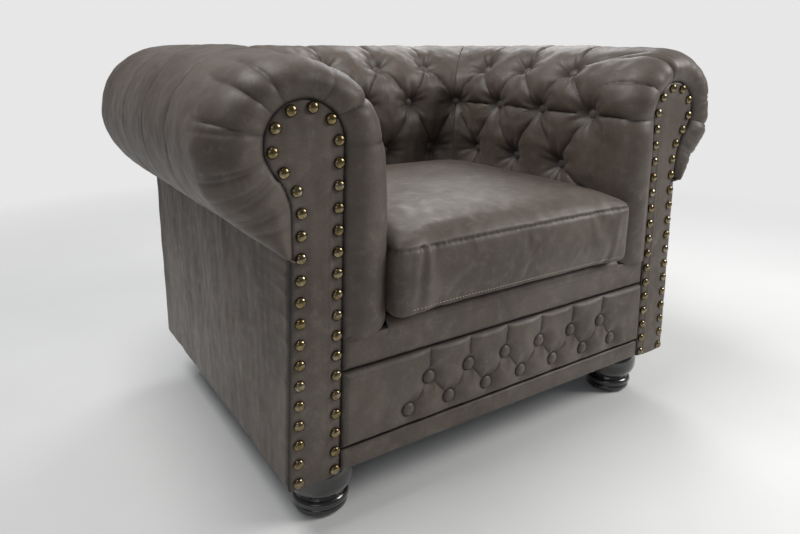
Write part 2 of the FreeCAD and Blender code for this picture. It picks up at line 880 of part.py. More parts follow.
def arm_roll(name, grow):
    front_y = facing_y - size.rim_overhang + size.cover_thickness - grow
    radius = size.roll_radius - size.cover_thickness + grow
    run = straight_run(f"{name}_run", grow, front_y, roll_y)
    doc.recompute()
    rim = doc.addObject("Part::Fillet", f"{name}_rim")
    rim.Base = run
    fillet = size.rim_fillet.value + as_size(grow).value
    rim.Edges = [(number, fillet, fillet) for number in rim_edges(run.Shape, front_y.value, radius.value)]
    mitred = cut(f"{name}_mitred", rim, mitre_wedge(f"{name}_wedge", roll_y, 1))
    whole = doc.addObject("Part::MultiFuse", name)
    whole.Shapes = [mitred, corner_turn(f"{name}_turn", grow, roll_y, 45)]
    return whole


def back_roll(name, grow):
    """The same section run between the arms; it is made beside the right arm and turned into place."""
    run = straight_run(f"{name}_run", grow, -roll_x, roll_x)
    wedges = [mitre_wedge(f"{name}_wedge", roll_x, 1), mitre_wedge(f"{name}_wedge", -roll_x, -1)]
    mitred = cut(f"{name}_mitred", run, *wedges)
    whole = doc.addObject("Part::MultiFuse", name)
    whole.Shapes = [
        mitred,
        corner_turn(f"{name}_turn", grow, roll_x, 45),
        corner_turn(f"{name}_turn", grow, -roll_x, -45),
    ]
    return turned_to_back(whole, f"{name}_in_place")


# Buttons: each sits on the floor of a tapered recess in the padding, in a diamond lattice.
upper_row_slope = math.radians(size.upper_row_tilt.value)
radius = size.roll_radius.value
wall_x = roll_x.value - radius
upper_row = SimpleNamespace(
    across=roll_x.value - radius * math.cos(upper_row_slope),
    height=roll_z.value + radius * math.sin(upper_row_slope),
    outward=(-math.cos(upper_row_slope), math.sin(upper_row_slope)),
)
middle_row = SimpleNamespace(across=wall_x, height=size.middle_row_z.value, outward=(-1.0, 0.0))
lower_row = SimpleNamespace(across=wall_x, height=size.lower_row_z.value, outward=(-1.0, 0.0))


def flat_ring(radius, height, sides):
    """A regular outline round the Z axis."""
    corners = []
    for corner in range(sides + 1):
        angle = 2 * math.pi * corner / sides
        corners.append(FreeCAD.Vector(radius * math.cos(angle), radius * math.sin(angle), height))
    return Part.makePolygon(corners)


def faceted_dome(radius, rise, sides, shank=0.0, shank_width=0.0):
    """A low dome of flat facets on the XY plane, rising along +Z, with an optional square shank."""
    shoulder = flat_ring(0.78 * radius, 0.62 * rise, sides)
    crown = flat_ring(0.35 * radius, rise, sides)
    dome = Part.makeLoft([flat_ring(radius, 0, sides), shoulder, crown], True, True)
    if shank:
        start = FreeCAD.Vector(-shank_width / 2, -shank_width / 2, -shank)
        dome = dome.fuse(Part.makeBox(shank_width, shank_width, shank, start))
    return dome


def tapered_plug(floor_radius, mouth_radius, depth):
    """The shape of a recess: its floor is at -depth and it opens out past the surface at Z 0."""
    beyond = 12.0
    outer_radius = mouth_radius + (mouth_radius - floor_radius) * beyond / depth
    return Part.makeLoft([flat_ring(floor_radius, -depth, 8), flat_ring(outer_radius, beyond, 8)], True, True)


def facing_out(point, direction, sink=0.0):
    """A placement whose Z axis points along direction, sunk below the surface point."""
    outward = FreeCAD.Vector(*direction)
    outward.normalize()
    turn = FreeCAD.Rotation(FreeCAD.Vector(0, 0, 1), outward)
    return FreeCAD.Placement(FreeCAD.Vector(*point) - outward * sink, turn)


spacing = size.tuft_spacing.value
corner_y = roll_y.value - radius


def arm_anchors(side):
    """Surface point and outward direction of each button of an arm."""
    anchors = []
    for row, start in (
        (upper_row, size.arm_upper_row_start),
        (middle_row, size.arm_middle_row_start),
        (lower_row, size.arm_lower_row_start),
    ):
        out_x, out_z = row.outward
        for step in range(3):
            along_y = facing_y.value + start.value + step * spacing
            anchors.append(((side * row.across, along_y, row.height), (side * out_x, 0.0, out_z)))
    return anchors


def back_anchors():
    anchors = []
    for row, steps in (
        (upper_row, (-1.5, -0.5, 0.5, 1.5)),
        (middle_row, (-1, 0, 1)),
        (lower_row, (-1.5, -0.5, 0.5, 1.5)),
    ):
        out_y, out_z = row.outward
        depth_y = row.across + back_shift.value
        for step in steps:
            anchors.append(((step * spacing, depth_y, row.height), (0.0, out_y, out_z)))
    return anchors


def corner_anchor(side):
    return ((side * wall_x, corner_y, middle_row.height), (-side * 1.0, -1.0, 0.0))


def recess_cutters(name, anchors, floor_radius, mouth_radius, depth):
    cutters = doc.addObject("Part::Feature", name)
    plugs = []
    for point, direction in anchors:
        plug = tapered_plug(floor_radius, mouth_radius, depth)
        plug.Placement = facing_out(point, direction)
        plugs.append(plug)
    cutters.Shape = Part.makeCompound(plugs)
    return cutters


def upholstered(prefix, roll_maker, anchors):
    """Padding with its recesses, and the cover as the layer left between it and the full shape."""
    lining = size.cover_thickness.value
    floor = size.tuft_floor_radius.value
    mouth = size.tuft_mouth_radius.value
    depth = size.tuft_depth.value
    full = roll_maker(f"{prefix}_full", size.cover_thickness)
    soft = roll_maker(f"{prefix}_soft", 0)
    recesses = recess_cutters(f"{prefix}_tufts", anchors, floor, mouth, depth)
    wider = recess_cutters(f"{prefix}_soft_tufts", anchors, floor + lining, mouth + lining, depth + lining)
    full_tufted = cut(f"{prefix}_full_tufted", full, recesses)
    padding = cut(f"{prefix}_soft_tufted", soft, wider)
    cover = cut(f"{prefix}_skin", full_tufted, padding)
    return padding, cover


def mirrored(thing, label):
    other = doc.addObject("Part::Mirroring", label)
    other.Source = thing
    other.Normal = FreeCAD.Vector(1, 0, 0)
    return other


right_padding, right_cover = upholstered("right_arm", arm_roll, arm_anchors(1) + [corner_anchor(1)])
keep(right_padding, "right_arm_padding")
keep(right_cover, "right_arm_cover")
keep(mirrored(right_padding, "left_padding"), "left_arm_padding")
keep(mirrored(right_cover, "left_cover"), "left_arm_cover")

back_button_places = back_anchors() + [corner_anchor(-1), corner_anchor(1)]
back_padding, back_cover = upholstered("back", back_roll, back_button_places)
keep(back_padding, "back_padding")
keep(back_cover, "back_cover")


def buttons(label, anchors, sink):
    """Cloth-covered buttons, each seated on the floor of its recess."""
    pieces = []
    for point, direction in anchors:
        button = doc.addObject("Part::Feature", "button")
        button.Shape = faceted_dome(size.button_radius.value, size.button_dome.value, 10)
        button.Placement = facing_out(point, direction, sink.value)
        pieces.append(button)
    return group(label, pieces)


for side_name, side in SIDES:
    buttons(f"{side_name}_arm_buttons", arm_anchors(side), size.tuft_depth)
buttons("back_buttons", back_button_places, size.tuft_depth)

# Outside panels: cloth on board, from the bottom of the frame up to the underside of the roll.
panel_foot_x = size.shaft_outer_foot_x
panel_top_x = size.outside_panel_top_x
inside_foot_x = panel_foot_x - size.panel_thickness
inside_top_x = panel_top_x - size.panel_thickness
for side_name, side in SIDES:
    side_panel_steps = [
        (side * panel_foot_x, size.frame_bottom),
        (side * panel_top_x, size.outside_panel_top),
        (side * inside_top_x, size.outside_panel_top),
        (side * inside_foot_x, size.frame_bottom),
    ]
    panel_depth = size.back_panel_y - post_y
    board_facing_front(f"{side_name}_outside_panel", side_panel_steps, post_y, panel_depth)

back_panel_front_y = size.back_panel_y - size.panel_thickness
back_panel_steps = [
    (-inside_foot_x, size.frame_bottom),
    (inside_foot_x, size.frame_bottom),
    (inside_top_x, size.outside_panel_top),
    (-inside_top_x, size.outside_panel_top),
]
board_facing_front("outside_back_panel", back_panel_steps, back_panel_front_y, size.panel_thickness)

# Keyhole facings and their nail trim, evenly spaced up one edge, over the head and down the other.
nail_count = 38
nail_inner_inset = 10
nail_outer_inset = 15
nail_head_inset = 11
first_nail_z = as_size(108)


def trim_path(steps):
    """The outline as a wire, without the closing edge along the bottom."""
    edges = []
    for here, following in zip(steps, steps[1:]):
        start = (as_size(here[0]), as_size(here[1]))
        end = (as_size(following[0]), as_size(following[1]))
        curve = here[2] if len(here) > 2 else None
        geometry = edge_geometry(start, end, curve)[0]
        edges.append(geometry.toShape())
    return Part.Wire(Part.__sortEdges__(edges))


def trim_nail(x, z):
    """A domed nail driven through the facing into the post behind it."""
    shank = size.nail_shank.value
    shank_width = size.nail_shank_width.value
    nail = doc.addObject("Part::Feature", "nail")
    nail.Shape = faceted_dome(size.nail_radius.value, size.nail_dome.value, 8, shank, shank_width)
    nail.Placement = facing_out((x, facing_y.value, z), (0, -1, 0))
    return nail


for side_name, side in SIDES:
    facing_outline = keyhole(side, 0, 0, 0, size.frame_bottom)
    board_facing_front(f"{side_name}_arm_facing", facing_outline, facing_y, size.facing_thickness)
    nail_line = trim_path(keyhole(side, nail_inner_inset, nail_outer_inset, nail_head_inset, first_nail_z))
    nails = [trim_nail(spot.x, spot.y) for spot in nail_line.discretize(Number=nail_count)]
    group(f"{side_name}_facing_nails", nails)

# Front: a plain strip at the foot, the buttoned panel, and the rounded border in front of the deck.
facing_clearance = 0.5


def front_board(name, low, high):
    """An upholstered piece between the facings, whose ends follow their lean."""
    low_x = shaft_inner_x(low) - facing_clearance
    high_x = shaft_inner_x(high) - facing_clearance
    steps = [(-low_x, low), (low_x, low), (high_x, high), (-high_x, high)]
    piece = padded_body(name, "XZ_Plane", steps, size.front_upholstery)
    place(piece, y=rail_front_y)
    return piece


panel_buttons = []
for count, start, step_x, height in (
    (7, size.panel_lower_row_start, size.panel_lower_row_spacing, size.panel_lower_row_z),
    (6, size.panel_upper_row_start, size.panel_upper_row_spacing, size.panel_upper_row_z),
):
    for number in range(count):
        along_x = start.value + number * step_x.value
        panel_buttons.append(((along_x, facing_y.value, height.value), (0.0, -1.0, 0.0)))

keep(front_board("strip_board", size.frame_bottom, size.strip_top), "front_base_strip")
panel_recesses = recess_cutters(
    "panel_tufts",
    panel_buttons,
    size.tuft_floor_radius.value,
    size.panel_tuft_mouth_radius.value,
    size.panel_tuft_depth.value,
)
plain_panel = front_board("panel_board", size.strip_top, size.border_bottom)
keep(cut("buttoned_panel", plain_panel, panel_recesses), "front_tufted_panel")
buttons("front_panel_buttons", panel_buttons, size.panel_tuft_depth)

border_half_width = shaft_inner_x(size.padding_bottom) - facing_clearance
under_padding = size.padding_bottom - 1
lower_border_steps = [
    (facing_y, size.border_bottom),
    (rail_front_y, size.border_bottom),
    (rail_front_y, spring_cover_top),
    (deck_front_y, spring_cover_top),
    (deck_front_y, under_padding),
    (facing_y, under_padding),
]
lower_border = padded_body("front_border_lower", "YZ_Plane", lower_border_steps, 2 * border_half_width)
place(lower_border, x=-border_half_width)
round_centre = (facing_y + size.border_round, size.seat_top - size.border_round)
upper_border_steps = [
    (facing_y, under_padding),
    (facing_y, round_centre[1], bend(size.border_round, round_centre, True)),
    (round_centre[0], size.seat_top),
    (deck_front_y, size.seat_top),
    (deck_front_y, under_padding),
]
upper_border = padded_body("front_border_upper", "YZ_Plane", upper_border_steps, 2 * seat_half_width)
place(upper_border, x=-seat_half_width)
front_border = doc.addObject("Part::Fuse", "border")
front_border.Base = lower_border
front_border.Tool = upper_border
keep(front_border, "front_border")

# Dust cover: thin black cloth under the frame, with a hole for each stud.
dust_half_width = size.base_rail_inner_x + size.rail_thickness
dust_low = (-dust_half_width, rail_front_y, size.foot_height)
dust_high = (dust_half_width, rear_rail_back_y, size.frame_bottom)
hole_radius = size.stud_radius + 2
hole_bottom = size.foot_height - 1
hole_top = size.frame_bottom + 1
stud_holes = []
for foot_x, foot_y in feet_places.values():
    stud_holes.append(upright_cylinder("stud_clearance", hole_radius, hole_bottom, hole_top, foot_x, foot_y))
keep(cut("dust_cloth", block("dust_sheet", dust_low, dust_high), *stud_holes), "dust_cover")


def cushion_block(name, inset):
    """The cushion's rounded block with a crowned top, taken in by the inset on every side."""
    half = size.cushion_width / 2 - inset
    bottom = size.cushion_bottom + inset
    top = size.cushion_border_top - inset
    crown = size.cushion_crown
    crown_radius = (half * half + crown * crown) / (2 * crown)
    crown_bend = bend(crown_radius, (0, top + crown - crown_radius), True)
    steps = [(-half, bottom), (-half, top, crown_bend), (half, top), (half, bottom)]
    front_y = inset - size.overall_depth / 2
    back_y = size.cushion_back_y - inset
    body = padded_body(name, "XZ_Plane", steps, back_y - front_y)
    doc.recompute()
    pad = body.Tip
    rounding = body.newObject("PartDesign::Fillet", "rounding")
    rounding.Base = (pad, [f"Edge{number}" for number in range(1, len(pad.Shape.Edges) + 1)])
    rounding.setExpression("Radius", (size.cushion_fillet - inset).text)
    place(body, y=back_y)
    return body


# Loose seat cushion: a foam block, its sewn cover, and the closed zip along the back.
cushion_core = cushion_block("foam_block", size.cushion_skin)
cushion_full = cushion_block("cushion_block", 0)
keep(cushion_core, "cushion_core")
keep(cut("cushion_skin", cushion_full, cushion_core), "cushion_cover")
zip_z = (size.cushion_bottom + size.cushion_border_top) / 2
zip_low = (-size.zip_length / 2, size.cushion_back_y, zip_z - size.zip_width / 2)
zip_high = (size.zip_length / 2, size.cushion_back_y + size.zip_thickness, zip_z + size.zip_width / 2)
keep(block("zip_tape", zip_low, zip_high), "cushion_zip")

doc.recompute()

for thing in doc.Objects:
    if "Invalid" in thing.State or "Error" in thing.State:
        raise RuntimeError(f"{thing.Label} did not build: {thing.State}")
for thing in subparts:
    if thing.Shape.isNull() or not thing.Shape.isValid():
        raise RuntimeError(f"{thing.Label} has no valid shape")

for thing in subparts:
    thing.Shape.exportStep(os.path.join("parts", f"{thing.Label}.step"))
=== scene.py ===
import math

import bmesh
import bpy
import numpy as np
from mathutils import Matrix, Vector
from mathutils.bvhtree import BVHTree


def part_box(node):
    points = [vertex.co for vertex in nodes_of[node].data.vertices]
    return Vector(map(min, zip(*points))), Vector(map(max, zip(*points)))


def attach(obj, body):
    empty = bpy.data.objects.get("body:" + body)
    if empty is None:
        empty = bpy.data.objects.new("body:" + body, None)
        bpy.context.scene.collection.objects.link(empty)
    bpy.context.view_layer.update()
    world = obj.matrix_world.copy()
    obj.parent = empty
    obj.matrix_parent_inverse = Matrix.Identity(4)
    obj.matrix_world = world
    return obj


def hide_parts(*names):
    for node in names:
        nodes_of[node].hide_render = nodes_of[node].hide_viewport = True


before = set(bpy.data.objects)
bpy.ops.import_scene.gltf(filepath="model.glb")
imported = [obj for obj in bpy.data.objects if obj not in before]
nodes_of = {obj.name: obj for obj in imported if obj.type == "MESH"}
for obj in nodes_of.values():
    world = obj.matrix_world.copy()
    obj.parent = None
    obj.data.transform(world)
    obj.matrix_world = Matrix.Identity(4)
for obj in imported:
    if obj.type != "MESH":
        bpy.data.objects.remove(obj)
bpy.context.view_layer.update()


# ---- Timber frame ----
# Squared beech rails and posts, glued corner blocks and plywood ribs, all bare and hidden under the
# padding. They keep their CAD shapes and get a sawn timber finish with grain along Z and Y.


def feed(node, inputs):
    """Sets a node's inputs, by name or count, to plain values or links them to sockets."""
    for key, value in inputs.items():
        socket = node.inputs[key.replace("_", " ") if isinstance(key, str) else key]
        if isinstance(value, bpy.types.NodeSocket):
            node.id_data.links.new(value, socket)
        else:
            socket.default_value = value


def add(tree, kind, settings=None, *values, **inputs):
    """One shader node: its settings, then values for its first inputs in order, or by name."""
    node = tree.nodes.new(kind)
    for word, value in (settings or {}).items():
        setattr(node, word, value)
    feed(node, dict(enumerate(values)) | inputs)
    return node


def new_finish(name, **settings):
    """A material with one Principled shader, its tree, and the object coordinates."""
    material = bpy.data.materials.new(name)
    material.use_nodes = True
    tree = material.node_tree
    shader = tree.nodes["Principled BSDF"]
    feed(shader, settings)
    return material, tree, shader, add(tree, "ShaderNodeTexCoord").outputs["Object"]


def noise(tree, place, scale, detail, roughness=0.5, distortion=0.0):
    inputs = {"Vector": place, "Scale": scale, "Detail": detail}
    inputs |= {"Roughness": roughness, "Distortion": distortion}
    return add(tree, "ShaderNodeTexNoise", **inputs).outputs[0]


def wave(tree, axis, place, scale, distortion):
    inputs = {"Vector": place, "Scale": scale, "Distortion": distortion}
    return add(tree, "ShaderNodeTexWave", {"bands_direction": axis}, **inputs).outputs["Fac"]


def product(tree, first, second):
    return add(tree, "ShaderNodeMath", {"operation": "MULTIPLY"}, first, second).outputs[0]


def blend(tree, amount, first, second):
    """Mixes two colours by an amount."""
    mix = add(tree, "ShaderNodeMix", {"data_type": "RGBA", "clamp_factor": True})
    feed(mix, {0: amount, 6: first, 7: second})
    return mix.outputs[2]


def ramp(tree, value, low, high, low_out=0.0, high_out=1.0):
    """Stretches a value's range from low..high to low_out..high_out, clamped."""
    return add(tree, "ShaderNodeMapRange", {"clamp": True}, value, low, high, low_out, high_out).outputs[0]


def paint(shader, colour, roughness, height, strength, distance):
    """Gives a shader its colour, its roughness unless that is None, and a bump."""
    bump = add(shader.id_data, "ShaderNodeBump", Strength=strength, Distance=distance, Height=height)
    feed(shader, {"Base Color": colour, "Normal": bump.outputs["Normal"]})
    if roughness is not None:
        feed(shader, {"Roughness": roughness})


def dress(names, material):
    """Gives CAD nodes a material."""
    for name in names:
        slots = nodes_of[name].data.materials
        slots.clear()
        slots.append(material)


timber, tree, shader, place = new_finish("sawn_beech", Roughness=0.62)
stretched = add(tree, "ShaderNodeMapping", Vector=place, Scale=(60, 6, 9)).outputs[0]
grain = noise(tree, stretched, 2.2, 8, 0.62)
beech_light = (0.62, 0.43, 0.25, 1)
beech_dark = (0.42, 0.26, 0.13, 1)
figured = blend(tree, ramp(tree, grain, 0.3, 0.7), beech_dark, beech_light)
rings = ramp(tree, wave(tree, "X", stretched, 0.35, 5.0), 0.0, 1.0, 0.0, 0.35)
tinted = blend(tree, rings, figured, beech_dark)
paint(shader, tinted, ramp(tree, grain, 0.3, 0.7, 0.72, 0.5), grain, 0.25, 0.0006)
dress([name for name in nodes_of if name.endswith(("_rail", "_post", "_ribs", "_blocks"))], timber)


# ---- Feet ----
# Turned hardwood feet in glossy black lacquer, wide dome over two rings. Each stands on a dark glide
# and is held by a zinc-plated stud in a tee nut. The turned CAD shapes stay.

lacquer, tree, shader, place = new_finish("black_lacquer", Coat_Weight=0.7, Coat_Roughness=0.06)
haze = noise(tree, place, 35, 5, 0.6)
scuffs = ramp(tree, noise(tree, place, 220, 3), 0.35, 0.75, 0.12, 0.3)
black = blend(tree, ramp(tree, haze, 0.45, 0.75), (0.011, 0.010, 0.010, 1), (0.03, 0.022, 0.018, 1))
paint(shader, black, scuffs, haze, 0.06, 0.001)
dress([name for name in nodes_of if name.startswith(("foot_front", "foot_rear"))], lacquer)

glide_black, tree, shader, place = new_finish("glide_plastic", Roughness=0.55)
speckle = noise(tree, place, 400, 2)
speckled = blend(tree, speckle, (0.02, 0.02, 0.02, 1), (0.05, 0.05, 0.05, 1))
paint(shader, speckled, None, speckle, 0.2, 0.0003)
dress(["foot_glides"], glide_black)


def steel_finish(name, light, dark, roughness):
    """Bare or drawn steel with faint streaks and dull spots."""
    material, tree, shader, place = new_finish(name, Metallic=1.0)
    spots = noise(tree, place, 90, 4)
    colour = blend(tree, ramp(tree, spots, 0.3, 0.7), dark, light)
    dull = ramp(tree, spots, 0.3, 0.7, roughness + 0.15, roughness - 0.05)
    paint(shader, colour, dull, spots, 0.1, 0.0002)
    return material


zinc_plate = steel_finish("zinc_plate", (0.66, 0.66, 0.68, 1), (0.5, 0.5, 0.48, 1), 0.35)
dress(["foot_studs", "foot_tee_nuts"], zinc_plate)


# ---- Seat springs ----
# Dark drawn-wire sinuous springs, hooked into strip clips and tied across by two wires. They lie
# under the deck, so their CAD shapes stay.

drawn_wire = steel_finish("drawn_wire", (0.3, 0.3, 0.31, 1), (0.14, 0.13, 0.13, 1), 0.42)
dress(["seat_springs", "spring_clips", "spring_tie_wires"], drawn_wire)


# ---- Woven cloths: spring cover, seat deck and dust cover ----
# Thin black polypropylene cloth. It is stretched over the springs, over the deck pad, and under the
# frame, where its hem is stapled to the rails.


def woven_finish(name, light, dark, threads):
    """A plain weave of crossing threads at a given number of threads a metre."""
    material, tree, shader, place = new_finish(name, Roughness=0.85, Sheen_Weight=0.08)
    crossed = product(tree, *(wave(tree, axis, place, threads, 0.6) for axis in "XY"))
    weave = blend(tree, crossed, dark, light)
    shaded = blend(tree, ramp(tree, noise(tree, place, 9, 4), 0.3, 0.7, 0.0, 0.4), weave, dark)
    paint(shader, shaded, ramp(tree, crossed, 0.0, 1.0, 0.95, 0.75), crossed, 0.35, 0.0005)
    return material


black_weave = woven_finish("black_woven_cloth", (0.035, 0.034, 0.034, 1), (0.012, 0.012, 0.012, 1), 90.0)
foam, tree, shader, place = new_finish("upholstery_foam", Roughness=0.9, Subsurface_Weight=0.05)
cells = add(tree, "ShaderNodeTexVoronoi", Vector=place, Scale=700.0).outputs["Distance"]
yellowed = blend(tree, noise(tree, place, 12, 4), (0.72, 0.66, 0.45, 1), (0.82, 0.78, 0.6, 1))
paint(shader, yellowed, None, cells, 0.4, 0.0006)
dress(["spring_cover"], black_weave)
dress(["seat_deck_pad", "cushion_core"], foam)


def as_piece(name, bm, smooth=True):
    """The bmesh as a new object at the origin."""
    for face in bm.faces:
        face.smooth = smooth
    mesh = bpy.data.meshes.new(name)
    bm.to_mesh(mesh)
    bm.free()
    piece = bpy.data.objects.new(name, mesh)
    bpy.context.scene.collection.objects.link(piece)
    return piece


def places_of(piece):
    places = np.empty(3 * len(piece.data.vertices))
    piece.data.vertices.foreach_get("co", places)
    return places.reshape(-1, 3)


def move_to(piece, places):
    piece.data.vertices.foreach_set("co", places.astype(np.float32).ravel())
    piece.data.update()


def mark(piece, word, values):
    """Stores a number from 0 to 1 for each vertex."""
    stored = piece.data.attributes.new(word, "FLOAT", "POINT")
    stored.data.foreach_set("value", np.clip(values, 0, 1).astype(np.float32))


def laid_cloth(name, places, thickness, hollow=None, offset=-1.0):
    """A cloth of some thickness on a grid of places, with a mark from 0 to 1 of the painted shade in its
    hollows.
    """
    across, along = places.shape[0] - 1, places.shape[1] - 1
    bm = bmesh.new()
    bmesh.ops.create_grid(bm, x_segments=across, y_segments=along, size=0.5)
    piece = as_piece(name, bm)
    corners = places_of(piece)
    column = np.rint((corners[:, 0] + 0.5) * across).astype(int)
    row = np.rint((corners[:, 1] + 0.5) * along).astype(int)
    move_to(piece, places[column, row])
    # The hollow mark sets how far painted shade darkens the cloth at each place.
    if hollow is not None:
        mark(piece, "hollow", hollow[column, row])
    wall = piece.modifiers.new("wall", "SOLIDIFY")
    wall.thickness = thickness
    wall.offset = offset
    wall.use_rim = True
    return piece


def spread(first, second):
    """Two grids of numbers: one that changes from column to column, one from row to row."""
    return np.meshgrid(first, second, indexing="ij")


def finish_piece(piece, material, slot, body, *replaced):
    piece.data.materials.append(material)
    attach(piece, body)
    if replaced:
        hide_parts(*replaced)


def stretched_cloth(name, node, top, sag, tension, thickness, offset):
    """A cloth stretched over the box of its node: it sags a little and pulls in waves at the edges."""
    low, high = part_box(node)
    u, v = spread(np.linspace(0, 1, 91), np.linspace(0, 1, 91))
    level = high[2] if top else low[2]
    edge = np.minimum(np.minimum(u, 1 - u), np.minimum(v, 1 - v))
    bowl = np.clip(edge / 0.25, 0, 1) ** 0.7
    ripple = np.exp(-edge / 0.05) * (np.sin(46 * u * (1 + 0.1 * v)) + np.sin(41 * v * (1 + 0.12 * u)))
    heights = level - sag * bowl + tension * ripple * (1 - np.exp(-edge / 0.01))
    x = low[0] + (high[0] - low[0]) * u
    y = low[1] + (high[1] - low[1]) * v
    return laid_cloth(name, np.stack([x, y, heights], axis=2), thickness, offset=offset)


deck = stretched_cloth(
    "seat_deck_sheet", "seat_deck_cloth", top=True, sag=0.0012, tension=0.00025, thickness=0.0018, offset=-1.0
)
finish_piece(deck, black_weave, "black_cloth", "chair", "seat_deck_cloth")


# ---- Arm and back skins ----
# One padded skin for each arm and one for the back: cloth over foam, drawn down by deep buttons
# into diamond puffs, rolled over the scroll, and pleated from the top buttons to the underside.
# A place on a skin is (s, t): s runs up the wall and over the roll, t along the arm or the back.

arm_wall, back_wall = 0.273, 0.149
wall_foot, wall_top = 0.322, 0.611
foot_round = 0.014
roll_radius = 0.131
roll_end = math.radians(-74)
skin_step = 0.0038
skin_thickness = 0.0025
button_pull = 0.030


def polyline_at(points, shares):
    """Places at the given shares of a polyline's length, and that length."""
    points = np.asarray(points, float)
    lengths = np.concatenate([[0], np.cumsum(np.linalg.norm(np.diff(points, axis=0), axis=1))])
    found = [np.interp(shares * lengths[-1], lengths, points[:, axis]) for axis in range(points.shape[1])]
    return np.stack(found, axis=-1), lengths[-1]


def arc_points(centre, radius, start, end, count):
    angles = np.linspace(start, end, count)
    return [(centre[0] + radius * math.cos(a), centre[1] + radius * math.sin(a)) for a in angles]


def roll_section():
    """The section from under the seat side, up the wall and round the roll to its tail below.
    Gives places (outward from the wall, height), their measure s, and outward normals."""
    path = [(0.045, wall_foot), (foot_round, wall_foot)]
    path += arc_points((foot_round, wall_foot + foot_round), foot_round, -math.pi / 2, -math.pi, 8)
    path += [(0, wall_top)]
    path += arc_points((roll_radius, wall_top), roll_radius, math.pi, roll_end, 140)
    path += [(0.139, 0.4868)]
    length = polyline_at(path, np.array([0.0]))[1]
    share = np.linspace(0, 1, int(length / skin_step) + 1)
    places = polyline_at(path, share)[0]
    foot = 0.031 + foot_round * math.pi / 2
    s = share * length - foot + foot_round
    direction = np.gradient(places, axis=0)
    direction /= np.linalg.norm(direction, axis=1, keepdims=True)
    return places, s, np.stack([-direction[:, 1], direction[:, 0]], axis=1)


section, section_s, section_out = roll_section()
s_row_b = wall_top - wall_foot
s_row_c = 0.176
s_row_a = s_row_b + roll_radius * math.pi / 4
s_roll_end = s_row_b + roll_radius * (math.pi - roll_end)


def towards_seat(places):
    """Unit normals of a skin's grid of places, out of its padding."""
    facing = np.cross(np.gradient(places, axis=1), np.gradient(places, axis=0))
    return facing / np.maximum(np.linalg.norm(facing, axis=2, keepdims=True), 1e-9)


def cloudy(s, t, size, seed):
    """Smooth lumps from -1 to 1 of about the given size."""
    total = np.zeros_like(s)
    rng = np.random.default_rng(seed)
    for _ in range(9):
        turn = rng.uniform(0, 2 * math.pi)
        rate = 2 * math.pi / (size * rng.uniform(0.7, 1.6))
        total += np.sin(rate * (s * math.cos(turn) + t * math.sin(turn)) + rng.uniform(0, 2 * math.pi))
    return total / 4.5


def fallen(share):
    """How far a quarter circle has fallen at a share of its way in from its edge, from 1 to 0."""
    return 1 - np.sqrt(1 - (1 - np.clip(share, 0, 1)) ** 2)


def bell(distance, width):
    """A smooth bump: 1 at no distance, 0.37 at the width."""
    return np.exp(-((distance / width) ** 2))


def pleat_cut(s, t, pleat, blunt):
    """How far a pleat draws each place in, its own depth there, and the distance from its line.
    A pleat is (start, end, depth at its start, in the middle and at its end, half-width)."""
    start, end, first, middle, last, width = pleat
    run = (end[0] - start[0], end[1] - start[1])
    share = ((s - start[0]) * run[0] + (t - start[1]) * run[1]) / (run[0] ** 2 + run[1] ** 2)
    share = np.clip(share, 0, 1)
    away = np.hypot(s - start[0] - share * run[0], t - start[1] - share * run[1])
    depth = first * (1 - share) ** 2 + last * share**2 + 2 * middle * share * (1 - share)
    return depth * fallen((np.sqrt(away**2 + blunt**2) - blunt) / width), depth, away


def tuft(s, t, buttons, pleats, seed):
    """Height of buttoned padding, and how much painted shade darkens each place, from 0 to 1, along its
    pleats and in its button hollows.
    """
    height = np.zeros_like(s)
    crease_shade = np.zeros_like(s)
    wander_s = s + 0.0022 * cloudy(s, t, 0.05, seed)
    wander_t = t + 0.0022 * cloudy(t, s, 0.05, seed + 1)
    for pleat in pleats:
        cut, depth, away = pleat_cut(wander_s, wander_t, pleat, 0.0012)
        height = -np.maximum(-height, cut)
        # Painted shade: a dark line along each pleat.
        crease_shade = np.maximum(crease_shade, np.clip(depth / 0.0038, 0, 1) * np.exp(-away / 0.0026))
    folds = np.zeros_like(s)
    for number, (place_s, place_t) in enumerate(buttons):
        reach = np.hypot(s - place_s, t - place_t)
        turn = np.arctan2(t - place_t, s - place_s)
        cut = button_pull * np.exp(-((np.maximum(reach - 0.009, 0) / 0.024) ** 1.15))
        height = -np.maximum(-height, cut)
        spokes = np.sin(turn * 9 + number * 1.7) + 0.7 * np.sin(turn * 14 + number * 2.9)
        folds += 0.0009 * spokes * bell(reach - 0.03, 0.016)
        # Painted shade in the hollow round each button.
        crease_shade = np.maximum(crease_shade, 0.9 * np.exp(-((reach / 0.021) ** 2.2)))
    lumps = 0.0016 * cloudy(s, t, 0.11, seed + 2) + 0.0006 * cloudy(s, t, 0.035, seed + 3)
    return height + folds + lumps, crease_shade


def slack_pleats(rows, steep, shallow):
    """Pleats between the rows of buttons, from the top row over the roll, and down to the seat."""
    row_a, row_b, row_c = rows
    pleats = []
    for upper, lower in ((row_a, row_b), (row_b, row_c)):
        for place in upper:
            for other in lower:
                if abs(other[1] - place[1]) < 0.1:
                    slant = steep if other[1] > place[1] else shallow
                    pleats.append((place, other, 0.020, slant, 0.020, 0.046))
    for place_s, place_t in row_a:
        over = (place_s + 0.14, place_t - 0.010)
        pleats.append(((place_s, place_t), over, 0.018, 0.005, 0.0028, 0.024))
        pleats.append((over, (s_roll_end, place_t - 0.03), 0.0028, 0.0028, 0.0032, 0.009))
    for place_s, place_t in row_c:
        pleats.append(((place_s, place_t), (0.0, place_t), 0.02, 0.006, 0.006, 0.045))
    return pleats


